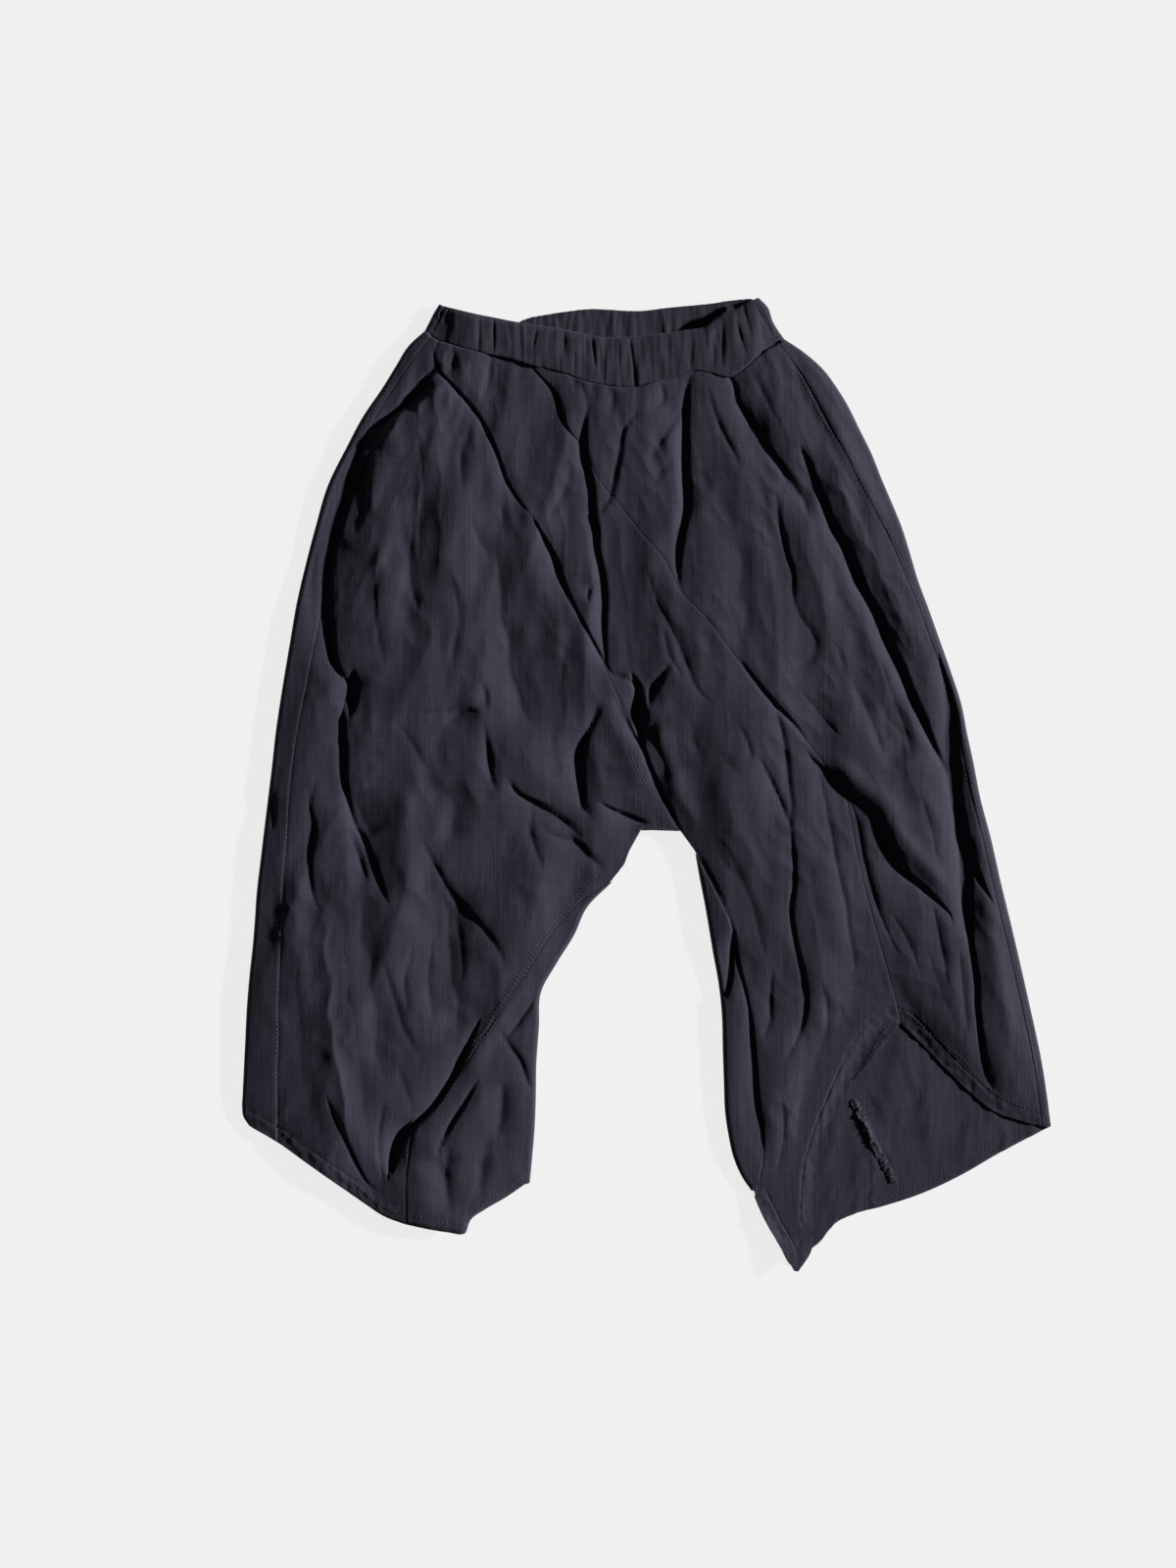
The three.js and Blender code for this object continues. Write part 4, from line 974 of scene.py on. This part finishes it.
def shell(name, outer, thick, materials):
    """A closed wall of cloth. Its outer face is a grid of points, its inner face lies a thickness inside."""
    normal = grid_normals(outer)
    rows, columns = outer.shape[:2]
    if normal[rows // 2, 2, 2] < 0:
        normal = -normal
    inner = outer - normal * thick
    inner[..., 2] = np.maximum(inner[..., 2], 0)
    points = np.concatenate([outer.reshape(-1, 3), inner.reshape(-1, 3)])
    walls = [grid_faces(rows, columns, 0, False), grid_faces(rows, columns, rows * columns, True)]
    faces = facing_out(points, np.concatenate([*walls, rim_faces(rows, columns)]))
    return make_object(name, points, faces.tolist(), materials)


def pulled_in(grid, gap):
    """A grid drawn in at its two side edges, so that neighbours don't touch."""
    made = grid.copy()
    for edge, next_to in ((0, 1), (-1, -2)):
        step = made[:, next_to] - made[:, edge]
        long = np.maximum(np.linalg.norm(step, axis=1, keepdims=True), 1e-6)
        made[:, edge] = made[:, edge] + step / long * np.minimum(gap, 0.4 * long)
    return made


def raised(plan, height):
    return np.concatenate([plan, height[..., None]], axis=2)


def front_panel(name, left, right, bends, columns, step, cloth, corners_left=(), corners_right=()):
    """A panel of the front between two edges, whose table rows lie side by side."""
    at = places_between([left, right], step)
    edges = flat_curve(left, at, corners_left), flat_curve(right, at, corners_right)
    plan = pulled_in(rungs(*edges, bends, columns, at, lambda i: (left[i], right[i])), SEAM_GAP / 2)
    return shell(name, raised(plan, front_height(plan[..., 0], plan[..., 1])), CLOTH, [cloth])


def turned(seam, edge, inward, top_count, turn_count, height_at, over=None):
    """Rows that start at a seam on top, run to an edge and turn under it."""
    out = edge - inward
    out = out / np.linalg.norm(out, axis=1, keepdims=True)
    turn = np.minimum(TURN, TURN_SHARE * np.linalg.norm(seam - edge, axis=1))[:, None]
    centre = edge - out * turn
    share = np.linspace(0, 1, top_count + 1)[None, :, None]
    top = seam[:, None] * (1 - share) + centre[:, None] * share
    if over is not None:
        top = top + over
    top_rows = raised(top, height_at(top[..., 0], top[..., 1]))
    half_high = top_rows[:, -1, 2] / 2
    angles = math.pi / 2 - math.pi * np.arange(1, turn_count + 1) / turn_count
    round_rows = np.zeros((len(seam), turn_count, 3))
    for k, angle in enumerate(angles):
        round_rows[:, k, :2] = centre + out * turn * math.cos(angle)
        round_rows[:, k, 2] = half_high + half_high * math.sin(angle)
    return np.concatenate([top_rows, round_rows], axis=1), centre


def underside(centre, end, bends, columns, at, places):
    """Rows along the floor, from the turned edge inwards."""
    plan = rungs(centre, end, bends, columns, at, places)[:, 1:]
    settle = smooth(np.arange(1, columns + 1) / SETTLE_COLUMNS)[None, :]
    return raised(plan, under_relief(plan[..., 0], plan[..., 1]) * settle)


def at_index(points, at):
    """Points straight between the rows of a table, at fractional places."""
    rows = np.asarray(points, float)
    low = np.clip(np.floor(at).astype(int), 0, len(rows) - 2)
    t = (at - low)[:, None]
    return rows[low] * (1 - t) + rows[low + 1] * t


def wrapped_panel(name, seam, edge, under, counts, step, cloth, over=None, bends=None, side_at=None):
    """A panel that turns over an edge and goes on along the underside.

    side_at gives the place on the seam's and the edge's rows that each row of the underside starts from.
    """
    at = places_between([under, under if side_at else edge], step)
    across = at if side_at is None else np.interp(at, np.arange(len(side_at)), side_at)
    seam_line = flat_curve(seam, across)
    edge_line = flat_curve(edge, across)
    under_line = flat_curve(under, at)
    bends = bends or {}
    toward = at_index([bends[i][0] if i in bends else under[i] for i in range(len(under))], at)
    pull = edge_line - seam_line
    seam_line = seam_line + pull / np.linalg.norm(pull, axis=1, keepdims=True) * SEAM_GAP / 2
    shift = None if over is None else over(seam_line, edge_line, at, counts["top"])
    top, centre = turned(seam_line, edge_line, toward, counts["top"], counts["turn"], front_height, shift)
    row_at = {i: int(np.argmin(np.abs(at - i))) for i in range(len(under))}
    low = underside(centre, under_line, bends, counts["under"], at,
                    lambda i: (centre[row_at[i]], under_line[row_at[i]]))
    return shell(name, np.concatenate([top, low], axis=1), CLOTH, [cloth])


def hem_over(seam_line, edge_line, at, columns):
    """The last row of the left inner leg follows the hem's curve instead of a straight line."""
    start, end = seam_line[-1], edge_line[-1]
    inner = resample(spline([start, *INNER_HEM, end]), columns)
    share = np.linspace(0, 1, columns + 1)[:, None]
    off = inner - (start * (1 - share) + end * share)
    weight = np.clip(at - (len(LEFT_INNER) - 2), 0, 1) ** 2
    return off[None] * weight[:, None, None]


def colour_between(material, dark, light, tone, start=0.0, end=1.0):
    """The base colour runs from dark to light as the tone goes from start to end."""
    nodes, links = material.node_tree.nodes, material.node_tree.links
    ramp = nodes.new("ShaderNodeValToRGB")
    first, last = ramp.color_ramp.elements
    first.color, first.position = dark, start
    last.color, last.position = light, end
    links.new(tone, ramp.inputs["Fac"])
    links.new(ramp.outputs["Color"], nodes["Principled BSDF"].inputs["Base Color"])


def cloth_material(name, dark, light):
    """Plain weave: the colour varies softly, and the bump has threads, slubs, nap and fine wrinkles."""
    material = bpy.data.materials.new(name)
    material.use_nodes = True
    nodes, links = material.node_tree.nodes, material.node_tree.links
    shader = nodes["Principled BSDF"]
    shader.inputs["Roughness"].default_value = 0.82
    shader.inputs["Specular IOR Level"].default_value = 0.28
    shader.inputs["Sheen Weight"].default_value = 0.12
    shader.inputs["Sheen Roughness"].default_value = 0.45
    shader.inputs["Sheen Tint"].default_value = (0.55, 0.57, 0.75, 1)
    place = nodes.new("ShaderNodeTexCoord").outputs["Object"]

    def noise(scale, detail, stretch=(1, 1, 1)):
        mapping = nodes.new("ShaderNodeMapping")
        mapping.inputs["Scale"].default_value = stretch
        links.new(place, mapping.inputs["Vector"])
        texture = nodes.new("ShaderNodeTexNoise")
        texture.inputs["Scale"].default_value = scale
        texture.inputs["Detail"].default_value = detail
        links.new(mapping.outputs["Vector"], texture.inputs["Vector"])
        return texture.outputs["Fac"]

    def math_node(operation, a, b=0):
        node = nodes.new("ShaderNodeMath")
        node.operation = operation
        for value, socket in zip((a, b), node.inputs):
            if isinstance(value, (int, float)):
                socket.default_value = value
            else:
                links.new(value, socket)
        return node.outputs["Value"]

    def weighted_sum(*terms):
        parts = [math_node("MULTIPLY", socket, weight) for socket, weight in terms]
        total = parts[0]
        for part in parts[1:]:
            total = math_node("ADD", total, part)
        return total

    apart = nodes.new("ShaderNodeSeparateXYZ")
    links.new(place, apart.inputs["Vector"])
    pace = 2 * math.pi / THREAD_PITCH
    warp = math_node("SINE", math_node("MULTIPLY", apart.outputs["X"], pace))
    weft = math_node("SINE", math_node("MULTIPLY", apart.outputs["Y"], pace))
    weave = math_node("MULTIPLY", warp, weft)
    slubs_across = noise(scale=60, detail=3, stretch=(0.12, 9, 1))
    slubs_down = noise(scale=60, detail=3, stretch=(9, 0.12, 1))
    slubs = math_node("ADD", slubs_across, slubs_down)
    cloud = noise(scale=9, detail=4)
    grain = noise(scale=900, detail=2)
    lines = noise(scale=75, detail=3, stretch=(1, 0.22, 1))
    wrinkles = math_node("ABSOLUTE", math_node("SUBTRACT", lines, 0.5))

    tone = weighted_sum((cloud, 0.35), (slubs, 0.3), (grain, 0.5))
    colour_between(material, dark, light, tone, start=0.50, end=0.95)

    bump = nodes.new("ShaderNodeBump")
    bump.inputs["Strength"].default_value = 0.55
    bump.inputs["Distance"].default_value = 0.0006
    relief = weighted_sum((weave, 0.16), (slubs, 0.55), (grain, 0.3), (wrinkles, -3.0))
    links.new(relief, bump.inputs["Height"])
    links.new(bump.outputs["Normal"], shader.inputs["Normal"])
    return material


def thread_material():
    material = bpy.data.materials.new("thread")
    material.use_nodes = True
    nodes = material.node_tree.nodes
    shader = nodes["Principled BSDF"]
    shader.inputs["Roughness"].default_value = 0.6
    shader.inputs["Sheen Weight"].default_value = 0.2
    texture = nodes.new("ShaderNodeTexNoise")
    texture.inputs["Scale"].default_value = 700
    colour_between(material, DARK_THREAD, LIGHT_THREAD, texture.outputs["Fac"])
    return material


def stitch_mesh(name, rows, thread, height_at):
    """Each stitch is a slim raised bead, sunk a little at its ends."""
    points, faces = [], []
    for row in rows:
        line = spline(row["line"], 2.0)
        spots = resample(line, max(1, round(reach_along(line)[-1] / row["pitch"])))
        for (x, y), (dx, dy) in zip(spots[:-1], np.diff(spots, axis=0)):
            long = math.hypot(dx, dy)
            ux, uy = dx / long, dy / long
            base = len(points)
            for place in STITCH_SHAPE:
                cx, cy = x + dx * place["along"], y + dy * place["along"]
                wide, lift = place["wide"], place["lift"]
                points.append((cx - uy * wide, cy + ux * wide, lift))
                points.append((cx, cy, lift + STITCH_CROWN))
                points.append((cx + uy * wide, cy - ux * wide, lift))
            for a in range(base, base + 9, 3):
                faces.append((a, a + 3, a + 4, a + 1))
                faces.append((a + 1, a + 4, a + 5, a + 2))
    points = np.array(points)
    points[:, 2] += height_at(points[:, 0], points[:, 1])
    return make_object(name, points, faces, [thread])


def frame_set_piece(piece, slot, *nodes):
    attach(piece, "root")
    if nodes:
        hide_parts(*nodes)
    return piece


def make_left_front(cloth):
    bends = {14: [(0, -32)], 15: [(-40, -44)], 27: [(-290, -342)], 28: LEFT_HEM}
    return front_panel("left_front", column(LEFT_SIDE, "seam"), LEFT_DIAGONAL + LEFT_INSEAM, bends,
                       columns=160, step=3.0, cloth=cloth, corners_right=(14, 15, 18))


def make_centre_front(cloth):
    bends = {0: WAIST_OF_CENTRE, 1: [(-150, 381)]}
    return front_panel("centre_front", LEFT_DIAGONAL + RIGHT_INSEAM, RIGHT_DIAGONAL + NOTCH_LEFT, bends,
                       columns=100, step=2.6, cloth=cloth, corners_left=(14, 15, 28), corners_right=(24,))


def make_right_front(cloth):
    bends = {
        0: WAIST_OF_RIGHT,
        1: [(-60, 355), (-30, 351), (0, 352), (45, 362), (76, 358), (105, 376)],
        2: [(-35, 338), (45, 346), (105, 356)],
        3: [(-35, 327), (45, 333), (105, 342)],
        4: [(-35, 317), (45, 321), (105, 329)],
        22: [(280, -196)],
        23: [(262, -228), (310, -262)],
        24: RIGHT_HEM,
    }
    return front_panel("right_front", RIGHT_DIAGONAL, column(RIGHT_SIDE, "seam"), bends,
                       columns=150, step=2.7, cloth=cloth)


def make_left_inner(cloth):
    counts = {"top": 48, "turn": 10, "under": 8}
    return wrapped_panel("left_inner_leg", LEFT_INSEAM[3:], column(LEFT_INNER, "edge"),
                         column(LEFT_INNER, "under"), counts, FINE, cloth, over=hem_over)


def make_right_inner(cloth):
    counts = {"top": 14, "turn": 10, "under": 8}
    return wrapped_panel("right_inner_leg", [*RIGHT_INSEAM[:13], (99.5, -377)], column(RIGHT_INNER, "edge"),
                         column(RIGHT_INNER, "under"), counts, FINE, cloth)


def make_back_left(cloth):
    last = len(LEFT_SIDE) - 1
    under = [*CENTRE_BACK, *LEFT_INSEAM[:3], *column(LEFT_INNER, "under")]
    counts = {"top": 10, "turn": 10, "under": 56}
    bends = {
        0: [(-170, 401), (-120, 399), (-60, 392)],
        1: [(-160, 379), (-120, 371)],
        14: [(-8, -30)],
        last - 1: [(-221, -372)],
        last: [*LEFT_HEM, (-221, -402), (-180, -408), (-160, -398)],
    }
    return wrapped_panel("back_left", column(LEFT_SIDE, "seam"), column(LEFT_SIDE, "edge"), under, counts,
                         COARSE, cloth, bends=bends)


def make_back_right(cloth):
    side_at = [*range(17), 16.5, 17, 17.5, 18, 19, 20, 20.5, *column(BACK_RIGHT_LEG, "at"), 24]
    under = [*CENTRE_BACK, (31, -43), *column(RIGHT_INNER, "under"), (101, -380)]
    counts = {"top": 8, "turn": 10, "under": 72}
    last = len(under) - 1
    bends = {0: [(103, 397), (60, 396), (0, 392)], 14: [(22, -30)]}
    for i, row in enumerate(BACK_RIGHT_LEG):
        bends[last - len(BACK_RIGHT_LEG) + i] = row["bend"]
    bends[last] = BACK_HEM[::-1]
    return wrapped_panel("back_right", column(RIGHT_SIDE, "seam"), column(RIGHT_SIDE, "edge"), under, counts,
                         COARSE, cloth, bends=bends, side_at=side_at)


def make_front_band(band):
    columns, rows = 380, 18
    high = resample(spline(FRONT_RIM), columns)
    seam = [
        BACK_BAND[3]["left"],
        *spline([LEFT_DIAGONAL[0], *WAIST_OF_CENTRE, RIGHT_DIAGONAL[0]]),
        *spline([RIGHT_DIAGONAL[0], *WAIST_OF_RIGHT, RIGHT_SIDE[0]["seam"]])[1:-1],
        BACK_BAND[3]["right"],
    ]
    low = resample(seam, columns) + np.array([0, SEAM_GAP])
    share = np.linspace(0, 1, rows + 1)[:, None, None]
    plan = pulled_in(high[None] * (1 - share) + low[None] * share, SEAM_GAP)
    height = band_height(plan[..., 0], plan[..., 1], np.broadcast_to(share[..., 0], plan.shape[:2]))
    return shell("waistband_front", raised(plan, height), BAND_CLOTH, [band])


def band_end_height(x, y):
    return EDGE_HEIGHT - 0.4 * np.abs(waves(x, y, size=9, seed=41))


def make_back_band(band):
    """The back's part of the waistband lies under the front's and turns up at both ends."""
    last, columns, hidden = len(BACK_BAND) - 1, 240, 6
    at = np.linspace(0, last, 16)
    high = resample(spline([BACK_BAND[0]["from"], *BACK_RIM, BACK_BAND[0]["to"]]), columns)
    low = resample(spline([BACK_BAND[last]["from"], *BACK_BAND_SEAM, BACK_BAND[last]["to"]]), columns)
    share = (at / last)[:, None, None]
    middle = (high[None] * (1 - share) + low[None] * share)[:, hidden:-hidden]
    ends = {key: flat_curve(column(BACK_BAND, key), at) for key in ("left", "from", "to", "right")}
    inward_left, inward_right = ends["from"] + np.array([43, -25]), ends["to"] - np.array([23, 11])
    left, _ = turned(ends["left"], ends["from"], inward_left, 4, 8, band_end_height)
    right, _ = turned(ends["right"], ends["to"], inward_right, 4, 8, band_end_height)
    lift = sum(-crease(row, middle[..., 0], middle[..., 1]) for row in BACK_GATHERS)
    lift = lift + 0.3 * np.abs(waves(middle[..., 0], middle[..., 1] * 0.15, size=8, seed=42))
    middle = raised(middle, np.minimum(lift, MOST_BAND_LIFT))
    return shell("waistband_back", np.concatenate([left, middle, right[:, ::-1]], axis=1), BAND_CLOTH, [band])


def allowance_height(x, y):
    """Height of the raw edge, which lies on the inside of the back and is a little rounded across."""
    across = np.clip(distance(spline(ALLOWANCE_LINE, 3.0), x, y) / ALLOWANCE_HALF, 0, 1)
    uneven = 0.25 * np.cos(across * 1.5) + 0.3 * waves(x, y, size=5, seed=52)
    return ALLOWANCE_BASE + under_relief(x, y) + uneven


def sideways(line):
    """Directions of length 1 across a line, at its points."""
    ahead = np.gradient(line, axis=0)
    return np.stack([-ahead[:, 1], ahead[:, 0]], axis=1) / np.linalg.norm(ahead, axis=1, keepdims=True)


def make_seam_allowance(cloth):
    """The raw edge inside the back leg, a little frayed and narrow at its ends."""
    line = resample(spline(ALLOWANCE_LINE), 110)
    chance = np.random.default_rng(51)
    half = ALLOWANCE_HALF + chance.uniform(-0.5, 0.4, (len(line), 2))
    half[[0, -1]] = 1.2
    half[[1, -2]] = 2.4
    share = np.linspace(0, 1, 13)
    across = -half[:, :1] * (1 - share) + half[:, 1:] * share
    plan = line[:, None] + sideways(line)[:, None] * across[..., None]
    height = allowance_height(plan[..., 0], plan[..., 1])
    return shell("seam_allowance", raised(plan, height), RAW_CLOTH, [cloth])


def overcast_height(x, y):
    return allowance_height(x, y) + 0.25


def make_overcast(thread):
    """Loops of thread that cross the raw edge from side to side."""
    line = resample(spline(ALLOWANCE_LINE), 50)
    chance = np.random.default_rng(53)
    sides = np.where(np.arange(len(line)) % 2, 1, -1)
    reach = ALLOWANCE_HALF * chance.uniform(0.75, 1.12, len(line)) * sides
    zigzag = line + sideways(line) * reach[:, None]
    rows = [stitching(a, b, pitch=np.linalg.norm(b - a)) for a, b in zip(zigzag, zigzag[1:])]
    return stitch_mesh("overcast_loops", rows, thread, overcast_height)


def make_floor():
    corners = np.array([(-1, -1, 0), (1, -1, 0), (1, 1, 0), (-1, 1, 0)]) * FLOOR_REACH
    material = bpy.data.materials.new("floor")
    material.use_nodes = True
    shader = material.node_tree.nodes["Principled BSDF"]
    shader.inputs["Base Color"].default_value = FLOOR_COLOUR
    shader.inputs["Roughness"].default_value = 1.0
    shader.inputs["Specular IOR Level"].default_value = 0.0
    shader.inputs["Emission Color"].default_value = (1, 1, 1, 1)
    shader.inputs["Emission Strength"].default_value = FLOOR_GLOW
    floor = make_object("floor", corners / MILLIMETRE, [(0, 1, 2, 3)], [material], smooth_faces=False)
    floor.location.z = -FLOOR_DROP


def make_lights():
    key = bpy.data.lights.new("key", "SUN")
    key.energy = SUN_STRENGTH
    key.angle = math.radians(SUN_WIDTH)
    lamp = bpy.data.objects.new("key", key)
    lamp.rotation_euler = (0, math.radians(SUN_TILT), math.radians(SUN_TURN))
    bpy.context.scene.collection.objects.link(lamp)
    world = bpy.data.worlds.new("studio")
    world.use_nodes = True
    sky = world.node_tree.nodes["Background"]
    sky.inputs["Color"].default_value = SKY_COLOUR
    sky.inputs["Strength"].default_value = SKY_STRENGTH
    bpy.context.scene.world = world


def make_camera():
    camera = bpy.data.cameras.new("camera")
    camera.sensor_fit = "AUTO"
    camera.sensor_width = SENSOR
    camera.lens = SENSOR * CAMERA_HEIGHT / PHOTO_TALL
    camera.clip_end = 50
    holder = bpy.data.objects.new("camera", camera)
    holder.location = (PHOTO_CENTRE_X, 0, CAMERA_HEIGHT)
    bpy.context.scene.collection.objects.link(holder)
    bpy.context.scene.camera = holder


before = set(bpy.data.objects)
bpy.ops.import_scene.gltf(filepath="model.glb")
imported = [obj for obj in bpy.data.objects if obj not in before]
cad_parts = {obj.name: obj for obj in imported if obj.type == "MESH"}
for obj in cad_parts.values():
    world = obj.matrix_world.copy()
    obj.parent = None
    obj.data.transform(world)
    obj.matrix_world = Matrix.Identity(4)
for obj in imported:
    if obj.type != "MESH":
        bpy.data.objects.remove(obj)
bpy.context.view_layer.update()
make_camera()
make_lights()
make_floor()

cloth = cloth_material("navy_cloth", DARK_CLOTH, LIGHT_CLOTH)
band_cloth = cloth_material("navy_band", DARK_BAND, LIGHT_BAND)
thread = thread_material()

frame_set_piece(stitch_mesh("topstitching", STITCHING, thread, front_height), "cloth")
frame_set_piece(stitch_mesh("back_hem_stitches", BACK_STITCHING, thread, back_inside), "cloth")
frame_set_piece(make_overcast(thread), "cloth")

# The panels: their size laid flat and their area, in metres.
PANELS = table(
    ("name", "make", "cloth", "slot", "flat", "area"),
    ("left_front", make_left_front, cloth, "cloth", (0.33, 0.83), 0.169),
    ("centre_front", make_centre_front, cloth, "cloth", (0.26, 0.90), 0.094),
    ("right_front", make_right_front, cloth, "cloth", (0.34, 0.73), 0.117),
    ("left_inner_leg", make_left_inner, cloth, "cloth", (0.17, 0.40), 0.028),
    ("right_inner_leg", make_right_inner, cloth, "cloth", (0.07, 0.32), 0.0155),
    ("back_left", make_back_left, cloth, "cloth", (0.38, 0.85), 0.24),
    ("back_right", make_back_right, cloth, "cloth", (0.39, 0.87), 0.22),
    ("waistband_front", make_front_band, band_cloth, "band", (0.33, 0.048), 0.014),
    ("waistband_back", make_back_band, band_cloth, "band", (0.35, 0.048), 0.015),
    ("seam_allowance", make_seam_allowance, cloth, "cloth", (0.010, 0.088), 0.0007),
)
for panel in PANELS:
    made = panel["make"](panel["cloth"])
    made.name = panel["name"] + "_cloth"
    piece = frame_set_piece(made, panel["slot"], panel["name"])

bpy.context.scene.view_settings.view_transform = "Standard"
